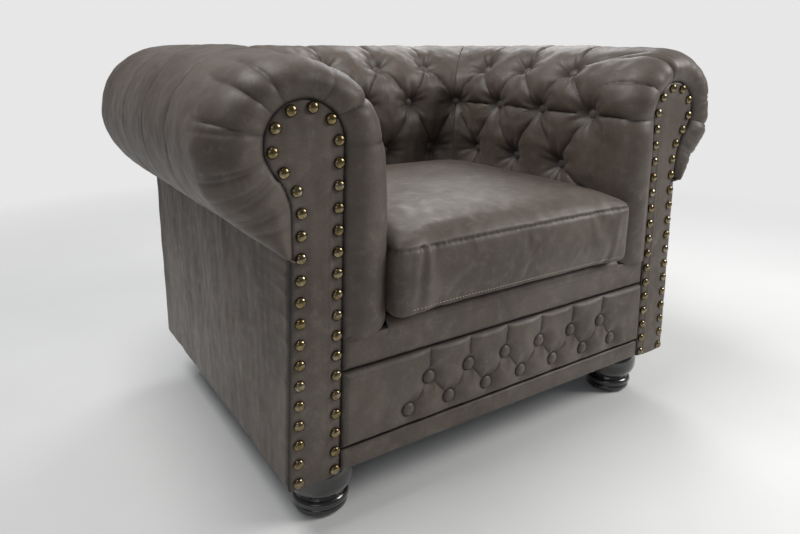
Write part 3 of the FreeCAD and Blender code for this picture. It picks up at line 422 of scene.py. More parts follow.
arm_rows = (
    [(s_row_a, t) for t in (-0.188, -0.048, 0.092)],
    [(s_row_b, t) for t in (-0.274, -0.134, 0.006)],
    [(s_row_c, t) for t in (-0.200, -0.060, 0.080)],
)
back_rows = (
    [(s_row_a, t) for t in (-0.210, -0.070, 0.070, 0.210)],
    [(s_row_b, t) for t in (-0.140, 0.0, 0.140)],
    [(s_row_c, t) for t in (-0.210, -0.070, 0.070, 0.210)],
)
arm_pleats = slack_pleats(arm_rows, steep=0.0042, shallow=0.0026)
back_pleats = slack_pleats(back_rows, steep=0.0072, shallow=0.0045)

# The corner button at the end of the back's middle row gathers both skins.
corner_round = 0.055
corner_place = (s_row_b, 0.1367)
for place in (arm_rows[0][2], arm_rows[2][2]):
    arm_pleats.append((place, corner_place, 0.02, 0.008, 0.02, 0.05))
back_corners = [(s_row_b, -0.2608), (s_row_b, 0.2608)]
for end, corner in zip((0, -1), back_corners):
    for row in (back_rows[0], back_rows[2]):
        back_pleats.append((row[end], corner, 0.02, 0.008, 0.02, 0.05))

# The front of each arm: the middle row's crease runs on over the rim to the facing, and the cloth
# fans out round the scroll in small gathers. Values by side are for -1, left, and 1, right.
front_plane = -0.394
rim_depth_wall, rim_depth_roll = 0.028, 0.060
groove_depth = 0.011
droop = {-1: 0.013, 1: 0.005}
tail_fill = {-1: 1.0, 1: 0.25}
for place, other in zip(arm_rows[1], arm_rows[1][1:] + [corner_place]):
    arm_pleats.append((place, other, 0.020, 0.008, 0.020, 0.040))
row_b_to_rim = {
    -1: (arm_rows[1][0], (s_row_b, front_plane - 0.02), 0.020, 0.006, 0.001, 0.05),
    1: (arm_rows[1][0], (s_row_b - 0.004, front_plane - 0.06), 0.022, 0.009, 0.012, 0.05),
}
for place, slope in ((arm_rows[0][0], 0.09), (arm_rows[2][0], -0.09)):
    arm_pleats.append((place, (place[0] + slope, front_plane), 0.02, 0.004, 0.0, 0.045))

# Folds that run from the facing's edge out over the rim: the angle round the scroll in degrees, the
# reach along the arm, the slant in degrees and the depth. Then the angles of fine pulls between them.
rim_folds = {
    -1: (
        (144, 0.105, -9, 0.011),
        (117, 0.09, 3, 0.005),
        (66, 0.12, -3, 0.007),
        (46, 0.13, -6, 0.008),
        (18, 0.11, -7, 0.006),
    ),
    1: ((142, 0.10, -13, 0.008), (106, 0.11, -16, 0.009), (-11, 0.08, 0, 0.007), (-44, 0.07, 3, 0.007)),
}
fine_pulls = (-12, -16, -30, -34, -38, -46, -50, -58, 16, 22)

# The keyhole of the facings: a round head on a shaft, with a hollow neck on the outer side.
head = (0.398, 0.617)
head_radius = 0.060
neck_meeting = math.radians(-40.6)
neck_centre = (0.5055, 0.525)
neck_radius = 0.0815
frame_bottom = 0.098
shaft_flare = 0.024
roll_turn_off = math.radians(-35)


def facing_inner(z):
    """The facing's inner edge at each height."""
    return 0.338 + shaft_flare * (head[1] - z) / (head[1] - frame_bottom)


def facing_edge(s, fill):
    """The place on the keyhole facing's edge that each place of the section is drawn to."""
    edge = np.empty((len(s), 2))
    straight = s <= s_row_b
    z = np.clip(wall_foot + s[straight], wall_foot, wall_top)
    edge[straight] = np.stack([facing_inner(z), z], axis=1)
    angle = math.pi - (s - s_row_b) / roll_radius
    share = np.clip((math.pi - angle) / (math.pi - roll_turn_off), 0, 1)
    over = math.pi + share * (neck_meeting - math.pi)
    rounded = ~straight & (angle >= roll_turn_off)
    edge[rounded, 0] = head[0] + head_radius * np.cos(over[rounded])
    edge[rounded, 1] = head[1] + head_radius * np.sin(over[rounded])
    tail = ~straight & (angle < roll_turn_off)
    hollow = arc_points(neck_centre, neck_radius, math.pi + neck_meeting, math.pi, 20)
    hollow.append((0.4262 + 0.0015 * fill, 0.487 - 0.029 * fill))
    along = np.clip((roll_turn_off - angle[tail]) / (roll_turn_off - roll_end), 0, 1)
    edge[tail] = polyline_at(hollow, along)[0]
    return edge


def corner_radius(u):
    """The radius that each place of the section turns the corner with: its own distance from the
    middle of the roll outside it, and a soft rounding inside it."""
    outer = u - roll_radius
    inner = corner_round * (1 - u / 0.16)
    return 0.5 * (outer + inner + np.sqrt((outer - inner) ** 2 + 0.0016))


def corner_path(u, distance, corner):
    """Where a place at a distance from the start lies: on along the run, then round the corner."""
    radius = corner_radius(u)
    straight_end = corner + u - radius
    angle = np.maximum(distance - straight_end, 0) / radius
    along = np.minimum(distance, straight_end) + radius * np.sin(angle)
    return along, u - radius * (1 - np.cos(angle))


def corner_reach(u, corner):
    """The distance at which each place of the section is half-way round the corner."""
    return corner + u - corner_radius(u) * (1 - math.pi / 4)


def smooth_step(value):
    value = np.clip(value, 0, 1)
    return value * value * (3 - 2 * value)


def front_section(fill):
    """The section near the front of an arm, where the roll's tail runs on down the side cloth."""
    changed = section.copy()
    turn_off = s_row_b + roll_radius * (math.pi - roll_turn_off)
    tail = section_s > turn_off
    share = ((section_s[tail] - turn_off) / (section_s[-1] - turn_off))[:, None]
    bent = np.array([0.202, 0.496])
    end = np.array([0.149, 0.458])
    filled = section[tail][0] * (1 - share) ** 2 + 2 * bent * share * (1 - share) + end * share * share
    changed[tail] += fill * (filled - changed[tail])
    return changed


def skin_lift(s, lift, crease_shade, to_corner):
    """Full puffs stand a little proud, all dies away at the tail and the foot, and the corner's seam
    draws in."""
    lift = lift + 0.006 * bell(s - s_row_b + 0.06, 0.2)
    tail = np.clip((s_roll_end - s) / 0.04, 0, 1)
    foot = np.clip((s + 0.01) / 0.03, 0, 1)
    return lift * tail * foot, crease_shade * tail, 0.0004 * np.exp(-to_corner / 0.006)


def arm_skin(name, side, seed):
    """One arm's skin: back along the arm to the corner, and forward over the rim to the facing."""
    run_rows, wrap_rows = 170, 30
    u, z, s = section[:, :1], section[:, 1:], section_s[:, None]
    at_front = front_section(tail_fill[side])
    front_u, front_z = at_front[:, :1], at_front[:, 1:]
    edge = facing_edge(section_s, tail_fill[side])
    edge_u, edge_z = edge[:, :1] - arm_wall, edge[:, 1:]
    rim = np.hypot(edge_u - front_u, edge_z - front_z)
    depth = rim_depth_wall + (rim_depth_roll - rim_depth_wall) * smooth_step((s - s_row_b + 0.03) / 0.1)
    depth = np.minimum(depth, rim * 0.9)
    start = front_plane + depth
    whole = corner_reach(u, back_wall)
    distance = start + (whole - start) * np.linspace(1, 0, run_rows)[None, :]
    y, out = corner_path(u, distance, back_wall)
    ahead = smooth_step((-0.20 - y) / 0.13)
    out = out + (front_u - u) * ahead
    height = z + (front_z - z) * ahead
    # The wrap is a quarter ellipse to the front plane, a slope back to the facing, then the groove.
    phi = np.linspace(0, 1, wrap_rows + 1)[None, 1:]
    rounding = np.clip(phi / 0.6, 0, 1) * math.pi / 2
    slope = np.clip((phi - 0.6) / 0.3, 0, 1)
    groove = np.clip((phi - 0.88) / 0.12, 0, 1)
    inward = 0.6 * (1 - np.cos(rounding)) + 0.36 * slope + 0.04 * groove
    back_in = 0.0085 * slope**1.6 + groove_depth * groove**1.5
    out = np.hstack([out, front_u + (edge_u - front_u) * inward])
    y = np.hstack([y, start - depth * np.sin(rounding) + back_in])
    height = np.hstack([height, front_z + (edge_z - front_z) * inward])
    # The top of the roll droops towards the front.
    on_top = smooth_step((s - s_row_b - 0.02) / 0.12) * smooth_step((s_roll_end - 0.06 - s) / 0.25)
    still = np.hstack([np.zeros((len(s), run_rows)), inward * np.ones_like(s)])
    height = height - droop[side] * on_top * smooth_step((-0.10 - y) / 0.24) * (1 - still)
    places = np.stack([arm_wall + out, y, height], axis=2)
    s_all = s * np.ones_like(y)
    t_all = np.hstack([distance, start - rim * phi])
    buttons = sum(arm_rows, []) + [corner_place]
    lift, crease_shade = tuft(s_all, t_all, buttons, arm_pleats + [row_b_to_rim[side]], seed)
    # Folds and fine pulls fan out from the facing's edge, each with a line of painted shade along it.
    in_wrap = np.hstack([np.zeros(run_rows), phi[0]])[None, :]
    from_edge = t_all - np.min(t_all, axis=1, keepdims=True)
    tightening = 1 - 0.5 * in_wrap
    wander = 0.002 * cloudy(s_all, t_all, 0.06, seed + 6)
    for turn, reach, slant, depth_of in rim_folds[side]:
        fold_s = s_row_b + roll_radius * math.radians(180 - turn)
        line = fold_s + math.radians(slant) * roll_radius * (from_edge / reach)
        away = np.abs(s_all - line + wander) * tightening
        strength = np.clip(1.1 - from_edge / reach, 0, 1) ** 0.6
        lift = lift - depth_of * strength * fallen(away / 0.022)
        crease_shade = np.maximum(crease_shade, 0.9 * strength * np.exp(-away / 0.0022))
    wander = 0.0015 * cloudy(s_all, t_all, 0.05, seed + 7)
    for number, turn in enumerate(fine_pulls):
        fold_s = s_row_b + roll_radius * math.radians(180 - turn)
        away = np.abs(s_all - fold_s + wander) * tightening
        strength = bell(from_edge - 0.035 - 0.008 * (number % 3), 0.045)
        lift = lift - 0.0021 * strength * bell(away, 0.0028)
        crease_shade = np.maximum(crease_shade, 0.45 * strength * np.exp(-away / 0.0016))
    to_corner = np.hstack([whole - distance, np.full((len(s), wrap_rows), 0.5)])
    lift, crease_shade, seam = skin_lift(s_all, lift, crease_shade, to_corner)
    wide = np.where(in_wrap > 0, np.clip(rim / 0.03, 0, 1), 1)
    lift = lift * wide * smooth_step((1 - in_wrap) / 0.5) - seam
    # Painted shade: a dark line in the groove where the cloth tucks in at the facing.
    crease_shade = np.maximum(crease_shade, np.clip((in_wrap - 0.86) / 0.05, 0, 1))
    places = places + towards_seat(places) * lift[:, :, None]
    places[:, :, 0] *= side
    return laid_cloth(name, places[:, ::side], skin_thickness, crease_shade[:, ::side])


def back_skin(name, seed):
    """The back's skin, from corner to corner."""
    u, z, s = section[:, :1], section[:, 1:], section_s[:, None]
    whole = corner_reach(u, arm_wall)
    tau = np.linspace(-1, 1, 201)[None, :]
    distance = np.abs(tau) * whole
    x, out = corner_path(u, distance, arm_wall)
    places = np.stack([x * np.sign(tau), back_wall + out, z * np.ones_like(x)], axis=2)
    s_all = s * np.ones_like(x)
    buttons = sum(back_rows, []) + back_corners
    lift, crease_shade = tuft(s_all, np.sign(tau) * distance, buttons, back_pleats, seed)
    lift, crease_shade, seam = skin_lift(s_all, lift, crease_shade, whole - distance)
    places = places + towards_seat(places) * (lift - seam)[:, :, None]
    return laid_cloth(name, places, skin_thickness, crease_shade)


def cloth_group():
    """The vintage microfibre shared by all cloth pieces: colour, roughness and height of its nap. Its colour
    darkens towards near black as painted shade, by each piece's hollow mark.
    """
    group = bpy.data.node_groups.new("vintage_cloth", "ShaderNodeTree")
    sockets = (
        ("Place", "INPUT", "Vector"),
        ("PaintedShade", "INPUT", "Float"),
        ("Streaks", "INPUT", "Float"),
        ("Colour", "OUTPUT", "Color"),
        ("Roughness", "OUTPUT", "Float"),
        ("Height", "OUTPUT", "Float"),
    )
    for word, way, kind in sockets:
        group.interface.new_socket(word, in_out=way, socket_type="NodeSocket" + kind)
    given = group.nodes.new("NodeGroupInput").outputs
    place = given["Place"]
    broad = noise(group, place, 6, 6, 0.62, 0.1)
    fine = noise(group, place, 48, 7, 0.72, 0.15)
    nap = noise(group, place, 900, 3, 0.6)
    upright = add(group, "ShaderNodeMapping", Vector=place, Scale=(26.0, 26.0, 3.2)).outputs[0]
    streak = noise(group, upright, 1.4, 5, 0.6)
    mid = (0.114, 0.093, 0.078, 1)
    dark = (0.066, 0.051, 0.041, 1)
    pale = (0.192, 0.165, 0.142, 1)
    rust = (0.115, 0.080, 0.060, 1)
    body = blend(group, ramp(group, broad, 0.36, 0.66), dark, mid)
    body = blend(group, ramp(group, fine, 0.52, 0.76, 0.0, 0.45), body, pale)
    body = blend(group, ramp(group, fine, 0.46, 0.26, 0.0, 0.5), body, dark)
    body = blend(group, product(group, ramp(group, streak, 0.42, 0.66), given["Streaks"]), body, rust)
    speck = ramp(group, nap, 0.35, 0.65, 0.82, 1.14)
    speckled = add(group, "ShaderNodeVectorMath", {"operation": "SCALE"}, body, Scale=speck).outputs[0]
    # Painted shade: the colour darkens towards near black where a piece's hollow mark is high.
    painted_shade = ramp(group, given["PaintedShade"], 0.0, 1.0, 0.0, 0.86)
    broad_rough = ramp(group, broad, 0.3, 0.7, 0.54, 0.44)
    fine_rough = ramp(group, fine, 0.3, 0.7, 0.08, -0.04)
    rough = add(group, "ShaderNodeMath", {"operation": "ADD"}, broad_rough, fine_rough)
    height = add(group, "ShaderNodeMath", {"operation": "MULTIPLY_ADD"}, nap, 0.35, fine)
    results = {
        "Colour": blend(group, painted_shade, speckled, (0.016, 0.013, 0.011, 1)),
        "Roughness": rough.outputs[0],
        "Height": height.outputs[0],
    }
    feed(group.nodes.new("NodeGroupOutput"), results)
    return group


vintage_cloth = cloth_group()


def marked(tree, word):
    """The number that a piece's own attribute gives each place."""
    settings = {"attribute_type": "GEOMETRY", "attribute_name": word}
    return add(tree, "ShaderNodeAttribute", settings).outputs["Fac"]


def cloth_finish(name, streaks, sheen=0.07, bump=0.35):
    """A material in the shared cloth, with its own amount of brown streaks, sheen and bump."""
    material, tree, shader, place = new_finish(name, Sheen_Weight=sheen, Sheen_Roughness=0.4)
    feed(shader, {"Specular IOR Level": 0.42})
    cloth = add(tree, "ShaderNodeGroup", {"node_tree": vintage_cloth})
    # The piece's hollow mark brings in its painted shade.
    feed(cloth, {"Place": place, "PaintedShade": marked(tree, "hollow"), "Streaks": streaks})
    given = cloth.outputs
    paint(shader, given["Colour"], given["Roughness"], given["Height"], bump, 0.0008)
    return material


sides = ((-1, "left"), (1, "right"))
skin_cloth = cloth_finish("skin_cloth", streaks=0.25)
for side, word in sides:
    skin = arm_skin(f"{word}_arm_skin", side, seed=17 + 6 * side)
    finish_piece(skin, skin_cloth, "seat_cloth", "chair", f"{word}_arm_padding", f"{word}_arm_cover")
skin = back_skin("back_skin", seed=37)
finish_piece(skin, skin_cloth, "seat_cloth", "chair", "back_padding", "back_cover")


# ---- Covered buttons ----
# Domed buttons covered in the same cloth, each pulled down to the floor of its hollow by a cord
# through the padding: nine in each arm, thirteen in the back and corners, thirteen in the front.


def turned(name, profile, steps, spots):
    """A turned shape copied to each spot (place, direction it faces). The profile is (radius, height)."""
    bm = bmesh.new()
    for place, direction in spots:
        turn = Vector(direction).to_track_quat("Z", "Y").to_matrix().to_4x4()
        turn.translation = Vector(place)
        line = [bm.verts.new((radius, 0, height)) for radius, height in profile]
        edges = [bm.edges.new(pair) for pair in zip(line, line[1:])]
        once_round = {"axis": (0, 0, 1), "angle": 2 * math.pi, "steps": steps}
        bmesh.ops.spin(bm, geom=line + edges, cent=(0, 0, 0), use_merge=True, **once_round)
        fresh = [vertex for vertex in bm.verts if not vertex.tag]
        bmesh.ops.remove_doubles(bm, verts=fresh, dist=1e-6)
        fresh = [vertex for vertex in bm.verts if not vertex.tag]
        bmesh.ops.transform(bm, matrix=turn, verts=fresh)
        for vertex in fresh:
            vertex.tag = True
    bmesh.ops.recalc_face_normals(bm, faces=bm.faces)
    return as_piece(name, bm)


def dome(radius, rise, skirt, count=7):
    """A closed dome's profile: flat underside, a short skirt, then a round top."""
    profile = [(0.0, -skirt), (radius * 0.9, -skirt), (radius, -skirt * 0.4)]
    for number in range(count + 1):
        angle = number / count * math.pi / 2
        profile.append((radius * math.cos(angle) if number < count else 0.0, rise * math.sin(angle)))
    return profile


def wall_spots(rows):
    """Each button's outward distance, height, direction and t, at the floor of its hollow."""
    for s, t in sum(rows, []):
        place = np.array([np.interp(s, section_s, section[:, axis]) for axis in (0, 1)])
        out = np.array([np.interp(s, section_s, section_out[:, axis]) for axis in (0, 1)])
        yield *(place - out * (button_pull - 0.0065)), *out, t


button_cloth = cloth_finish("button_cloth", streaks=0.1, sheen=0.1, bump=0.2)
button_radius, button_skirt, button_steps = 0.0115, 0.004, 24
button_shape = dome(button_radius, 0.006, button_skirt)
for side, word in sides:
    spots = [
        ((side * (arm_wall + u), t, z), (side * out_u, 0, out_z))
        for u, z, out_u, out_z, t in wall_spots(arm_rows)
    ]
    buttons = turned(f"{word}_arm_covered_buttons", button_shape, button_steps, spots)
    finish_piece(buttons, button_cloth, "seat_cloth", "chair", f"{word}_arm_buttons")
spots = [((t, back_wall + u, z), (0, out_u, out_z)) for u, z, out_u, out_z, t in wall_spots(back_rows)]
for side in (-1, 1):
    sink = 0.002
    spots.append(((side * (arm_wall + sink), back_wall + sink, 0.612), (-side, -1, 0)))
buttons = turned("back_covered_buttons", button_shape, button_steps, spots)
finish_piece(buttons, button_cloth, "seat_cloth", "chair", "back_buttons")


# ---- Outside panels ----
# Cloth stretched over the sides and back of the frame from under the roll to the bottom rails,
# turned in at the edges. It shows brown streaks, slack folds and pulls from the front edge, and
# painted shade along the top under the roll and along its turned-in sides.

panel_cloth = cloth_finish("panel_cloth", streaks=0.75)
panel_top = 0.484
panel_front, panel_rear = -0.379, 0.311
panel_foot_x, rear_panel_y = 0.448, 0.312
lean_height = 0.384
pull_heights = (0.452, 0.43, 0.405, 0.372, 0.335, 0.27)


def edge_turn(distance, radius):
    """How far a surface has fallen back at this distance from an edge turned over at a radius."""
    return radius * fallen(distance / radius)


def outside_cloth(name, across, lay, seed, columns):
    """A cloth between two places along its foot, laid by a function of (along, height, lift)."""
    along, v = spread(np.linspace(*across, columns + 1), np.linspace(0, 1, 111))
    z = frame_bottom + (panel_top - frame_bottom) * v
    from_start = along - across[0]
    from_side = np.minimum(from_start, across[1] - along)
    lift = 0.0010 * cloudy(along * 2.4, z * 0.7, 0.16, seed) + 0.0004 * cloudy(along * 2, z, 0.05, seed + 1)
    for number, height in enumerate(pull_heights):
        line = height + 0.07 * (number % 3 - 0.6) * from_start
        reach = np.exp(-from_start / (0.06 + 0.02 * (number % 2)))
        lift += 0.0011 * reach * bell(z - line, 0.004)
    gathers = np.sin(along * 170 + 2 * cloudy(along, z, 0.1, seed + 2))
    lift += 0.0008 * gathers * np.exp(-(panel_top - z) / 0.03)
    lift -= edge_turn(from_side, 0.009) + edge_turn(z - frame_bottom, 0.005)
    # Painted shade: darker along the top, under the roll, and along the turned-in sides.
    hollow = 0.55 * np.exp(-(panel_top - z) / 0.012) + 0.5 * np.exp(-from_side / 0.003)
    return laid_cloth(name, lay(along, z, lift), 0.002, hollow)


def side_place(side):
    def lay(y, z, lift):
        lean = 0.022 - 0.013 * np.clip((y - panel_front) / 0.3, 0, 1)
        x = panel_foot_x - lean * (z - frame_bottom) / lean_height + lift
        return np.stack([side * x, y, z], axis=2)

    return lay


def back_place(x, z, lift):
    narrowed = (panel_foot_x - 0.009 * (z - frame_bottom) / lean_height) / panel_foot_x
    return np.stack([-x * narrowed, rear_panel_y + lift, z], axis=2)


side_run = (panel_front, panel_rear)
for side, word in sides:
    lay = side_place(side)
    cloth = outside_cloth(f"{word}_outside_cloth", side_run, lay, seed=51 + side, columns=190)
    if side < 0:
        cloth.data.flip_normals()
    finish_piece(cloth, panel_cloth, "seat_cloth", "chair", f"{word}_outside_panel")
cloth = outside_cloth("outside_back_cloth", (-0.446, 0.446), back_place, seed=57, columns=230)
finish_piece(cloth, panel_cloth, "seat_cloth", "chair", "outside_back_panel")


# ---- Facings ----
# Keyhole boards, thinly padded and covered in the same cloth, nailed to the front posts. The cloth
# is drawn down a little at each nail, and a fold runs down beside the inner column. Painted shade
# darkens a narrow band round the edge.

facing_cloth = cloth_finish("facing_cloth", streaks=0.35)
facing_front = -0.386
neck_end_z = head[1] + head_radius * math.sin(neck_meeting)


def facing_span(z):
    """The facing's inner and outer edge at each height."""
    chord = np.sqrt(np.clip(head_radius**2 - (z - head[1]) ** 2, 0, None))
    neck = neck_centre[0] - np.sqrt(np.clip(neck_radius**2 - (z - neck_centre[1]) ** 2, 0, None))
    shaft = 0.424 + shaft_flare * (neck_centre[1] - z) / (neck_centre[1] - frame_bottom)
    outer = np.where(z > neck_end_z, head[0] + chord, np.where(z > neck_centre[1], neck, shaft))
    return np.where(z > head[1], head[0] - chord, facing_inner(z)), outer


def trim_line(first_z, count):
    """Nail places round the facing, evenly spaced along a line inset from its edge."""
    up = np.linspace(first_z, head[1], 60)
    down = np.linspace(neck_end_z - 0.012, first_z, 90)
    inner = list(zip(facing_span(up)[0] + 0.010, up))
    over = arc_points(head, head_radius - 0.011, math.pi, neck_meeting + 0.12, 90)
    outer = list(zip(facing_span(down)[1] - 0.015, down))
    return polyline_at(inner + over + outer, np.linspace(0, 1, count))[0]


nail_places = trim_line(first_z=0.108, count=38)


def facing_board(name, side, seed):
    rows, foot_rows = 300, 232
    heights = np.linspace(frame_bottom, head[1], foot_rows + 1)
    over = head[1] + head_radius * np.sin(np.linspace(0, math.pi / 2, rows - foot_rows + 1)[1:])
    z = np.concatenate([heights, over])[:, None]
    inner, outer = facing_span(z)
    across = np.cos(np.linspace(0, 1, 57)[None, :] * math.pi)
    share = 0.5 - 0.5 * across * (0.85 + 0.15 * across**2)
    share = (share - share[0, 0]) / (share[0, -1] - share[0, 0])
    x = inner + (outer - inner) * share
    rim = np.vstack([np.hstack([inner, z]), np.hstack([outer, z])[::-1]])
    z = z * np.ones_like(x)
    away = np.full(x.shape, 1.0)
    for place in rim[::2]:
        away = np.minimum(away, np.hypot(x - place[0], z - place[1]))
    lift = 0.0022 * np.clip(away / 0.03, 0, 1) ** 0.7 - edge_turn(away, 0.006)
    for place in nail_places:
        lift -= 0.0016 * bell(np.hypot(x - place[0], z - place[1]), 0.011)
    lift += 0.0005 * cloudy(x * 2, z, 0.07, seed)
    from_fold = x - inner - 0.0215 + 0.001 * cloudy(z, x, 0.2, seed)
    lift += 0.0009 * bell(from_fold, 0.0022) * (z < 0.55)
    places = np.stack([side * x, facing_front - lift, z], axis=2)
    # Painted shade: a dark band round the facing's edge, where it meets the skin.
    hollow = bell(away, 0.0034)
    return laid_cloth(name, places[:, ::-side], 0.007, hollow[:, ::-side])


for side, word in sides:
    board = facing_board(f"{word}_facing_cloth", side, seed=61 + side)
    finish_piece(board, facing_cloth, "seat_cloth", "chair", f"{word}_arm_facing")


# ---- Nails ----
# Domed upholstery nails in antique brass, thirty-eight round each facing, worn bright on top and
# dark where the dome meets the cloth.

brass, tree, shader, place = new_finish("antique_brass", Metallic=1.0)
worn = noise(tree, place, 160, 4)
each = noise(tree, place, 31, 1)
gold = blend(tree, ramp(tree, each, 0.4, 0.62), (0.27, 0.21, 0.10, 1), (0.34, 0.30, 0.22, 1))
olive = blend(tree, ramp(tree, worn, 0.35, 0.7), (0.13, 0.095, 0.045, 1), gold)
rim_shade = ramp(tree, marked(tree, "rim"), 0.2, 1.0, 0.0, 0.85)
rimmed = blend(tree, rim_shade, olive, (0.05, 0.036, 0.018, 1))
paint(shader, rimmed, ramp(tree, worn, 0.3, 0.7, 0.28, 0.14), worn, 0.12, 0.0003)

nail_shape = dome(0.0085, 0.0052, 0.0016, 5)
nail_seat = facing_front - 0.0018
for side, word in sides:
    spots = [((side * x, nail_seat, z), (0, -1, 0)) for x, z in nail_places]
    nails = turned(f"{word}_brass_nails", nail_shape, 18, spots)
    mark(nails, "rim", 1 - (nail_seat - places_of(nails)[:, 1]) / 0.002)
    finish_piece(nails, brass, "aged_brass", "chair", f"{word}_facing_nails")


# ---- Front: border, tufted panel and base strip ----
# Below the cushion a plain padded border, then a board with thirteen buttons and pressed pleats,
# then a plain covered strip, all in the same cloth, between the facings.

front_cloth = cloth_finish("front_cloth", streaks=0.3)


def front_board(name, span, lift_of, edge, grid, seed, depth=0.016, open_top=False):
    """A covered board between the facings: its front face turned back at its edges, with painted shade along
    those edges and in its creases.
    """
    bottom, top = span
    u, v = spread(*(np.linspace(0, 1, count + 1) for count in grid))
    z = bottom + (top - bottom) * v
    half = facing_inner(z) - 0.0005
    x = -half + 2 * half * u
    sides = half - np.abs(x)
    ends = z - bottom if open_top else np.minimum(z - bottom, top - z)
    rim = np.minimum(sides, ends)
    lift, crease_shade = lift_of(x, z)
    lift = lift * np.clip(rim / 0.01, 0, 1) + 0.0004 * cloudy(x * 1.5, z, 0.06, seed)
    lift -= np.maximum(edge_turn(sides, edge), edge_turn(ends, edge))
    places = np.stack([x, facing_front - lift, z], axis=2)
    # Painted shade along the board's edges, and in the creases that lift_of gives.
    return laid_cloth(name, places, depth, np.maximum(crease_shade, np.exp(-rim / 0.0025)))


def plain_front(x, z):
    """A nearly flat face, pulled up a little along the middle of the base strip."""
    pull = 0.0006 * bell(z - 0.118 - 0.004 * np.sin(x * 9), 0.006)
    return 0.0015 + pull, np.zeros_like(x)


panel_span = (0.1378, 0.2665)
lower_row = [(-0.231 + 0.0835 * number, 0.165) for number in range(7)]
upper_row = [(-0.190 + 0.0845 * number, 0.213) for number in range(6)]
panel_pleats = []
for x, z in upper_row:
    panel_pleats.append(((x, z), (x + 0.002, 0.267), 0.008, 0.0075, 0.006, 0.032))
    for other_x, other_z in lower_row:
        if 0 < other_x - x < 0.06:
            panel_pleats.append(((x, z), (other_x, other_z), 0.008, 0.0075, 0.008, 0.030))
        if 0 < x - other_x < 0.06:
            panel_pleats.append(((x, z), (other_x, other_z), 0.008, 0.0012, 0.008, 0.028))
for x, z in lower_row:
    panel_pleats.append(((x, z), (x - 0.001, 0.137), 0.008, 0.005, 0.003, 0.028))


def tufted_front(x, z):
    """Shallow buttoned padding: pressed pleats, a dip at each button, puffs between, and painted shade along
    the pleats and round each button.
    """
    height = np.zeros_like(x)
    crease_shade = np.zeros_like(x)
    wander_x = x + 0.0012 * cloudy(x, z, 0.03, 5)
    for pleat in panel_pleats:
        cut, depth, away = pleat_cut(wander_x, z, pleat, 0.0006)
        height = -np.maximum(-height, cut)
        # Painted shade: a dark line along each pleat.
        crease_shade = np.maximum(crease_shade, 0.75 * np.clip(depth / 0.006, 0, 1) * np.exp(-away / 0.0022))
    for place in upper_row + lower_row:
        reach = np.hypot(x - place[0], z - place[1])
        height = -np.maximum(-height, 0.0105 * np.exp(-((np.maximum(reach - 0.009, 0) / 0.013) ** 1.3)))
        # Painted shade in a ring round each button.
        crease_shade = np.maximum(crease_shade, 0.8 * bell(reach - 0.0115, 0.003))
    return height + 0.0055, crease_shade


border_span = (0.2675, 0.3215)
border = front_board(
    "front_border_cloth",
    border_span,
    plain_front,
    edge=0.009,
    grid=(300, 40),
    seed=71,
    depth=0.03,
    open_top=True,
)
finish_piece(border, front_cloth, "seat_cloth", "chair")


def border_lip():
    """The top of the border, between the arms, turned over the front edge of the seat deck."""
    half_width = 0.272
    profile = [(-0.0019, 0.3125), (-0.0019, 0.3185)]
    bend = np.linspace(0.1, math.pi / 2, 14)
    profile += [(0.02 - 0.0219 * math.cos(a), 0.318 + 0.0205 * math.sin(a)) for a in bend]
    profile += [(0.047, 0.3382), (0.0478, 0.3360)]
    line = polyline_at(profile, np.linspace(0, 1, 35))[0]
    x, y = spread(np.linspace(-half_width, half_width, 181), facing_front + line[:, 0])
    ends = edge_turn(half_width - np.abs(x), 0.002)
    y = y + ends * 0.6
    z = line[:, 1] - ends * 0.5 + 0.0003 * cloudy(x, y, 0.06, 3)
    return laid_cloth("front_border_lip", np.stack([x, y, z], axis=2), 0.004)


lip = border_lip()
finish_piece(lip, front_cloth, "seat_cloth", "chair", "front_border")

panel = front_board(
    "tufted_front_cloth", panel_span, tufted_front, edge=0.008, grid=(460, 90), seed=73
)
finish_piece(panel, front_cloth, "seat_cloth", "chair", "front_tufted_panel")
spots = [((x, facing_front + 0.0035, z), (0, -1, 0)) for x, z in upper_row + lower_row]
shape = dome(button_radius, 0.0062, button_skirt)
buttons = turned("front_covered_buttons", shape, button_steps, spots)
finish_piece(buttons, button_cloth, "seat_cloth", "chair", "front_panel_buttons")

strip_span = (frame_bottom, 0.1362)
strip = front_board(
    "base_strip_cloth", strip_span, plain_front, edge=0.006, grid=(300, 26), seed=79
)
finish_piece(strip, front_cloth, "seat_cloth", "chair", "front_base_strip")


# ---- Dust cover ----
# Black cloth stretched under the frame, folded in at its edges and stapled to the rails.

cover = stretched_cloth(
    "dust_cover_sheet", "dust_cover", top=False, sag=0.0, tension=0.0002, thickness=0.0006, offset=1.0
)
low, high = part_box("dust_cover")
finish_piece(cover, black_weave, "black_cloth", "chair", "dust_cover")


def staples(name, height, inset, spacing):
    """Flat wire staples along all four edges of the dust cover."""
    bm = bmesh.new()
    half = (high - low) / 2 - Vector((inset, inset, 0))
    middle = (low + high) / 2
    spots = []
    for side in (-1, 1):
        for number in range(int(2 * half.x / spacing) + 1):
            spots.append((middle.x - half.x + number * spacing, middle.y + side * half.y, 0.0))
        for number in range(1, int(2 * half.y / spacing)):
            spots.append((middle.x + side * half.x, middle.y - half.y + number * spacing, math.pi / 2))
    size = Matrix.Diagonal((0.010, 0.0013, 0.0007, 1))
    for x, y, turn in spots:
        made = bmesh.ops.create_cube(bm, size=1.0)
        place = Matrix.Translation((x, y, height)) @ Matrix.Rotation(turn + 0.2 * math.sin(91 * x), 4, "Z")
        bmesh.ops.transform(bm, matrix=place @ size, verts=made["verts"])
    return as_piece(name, bm, smooth=False)


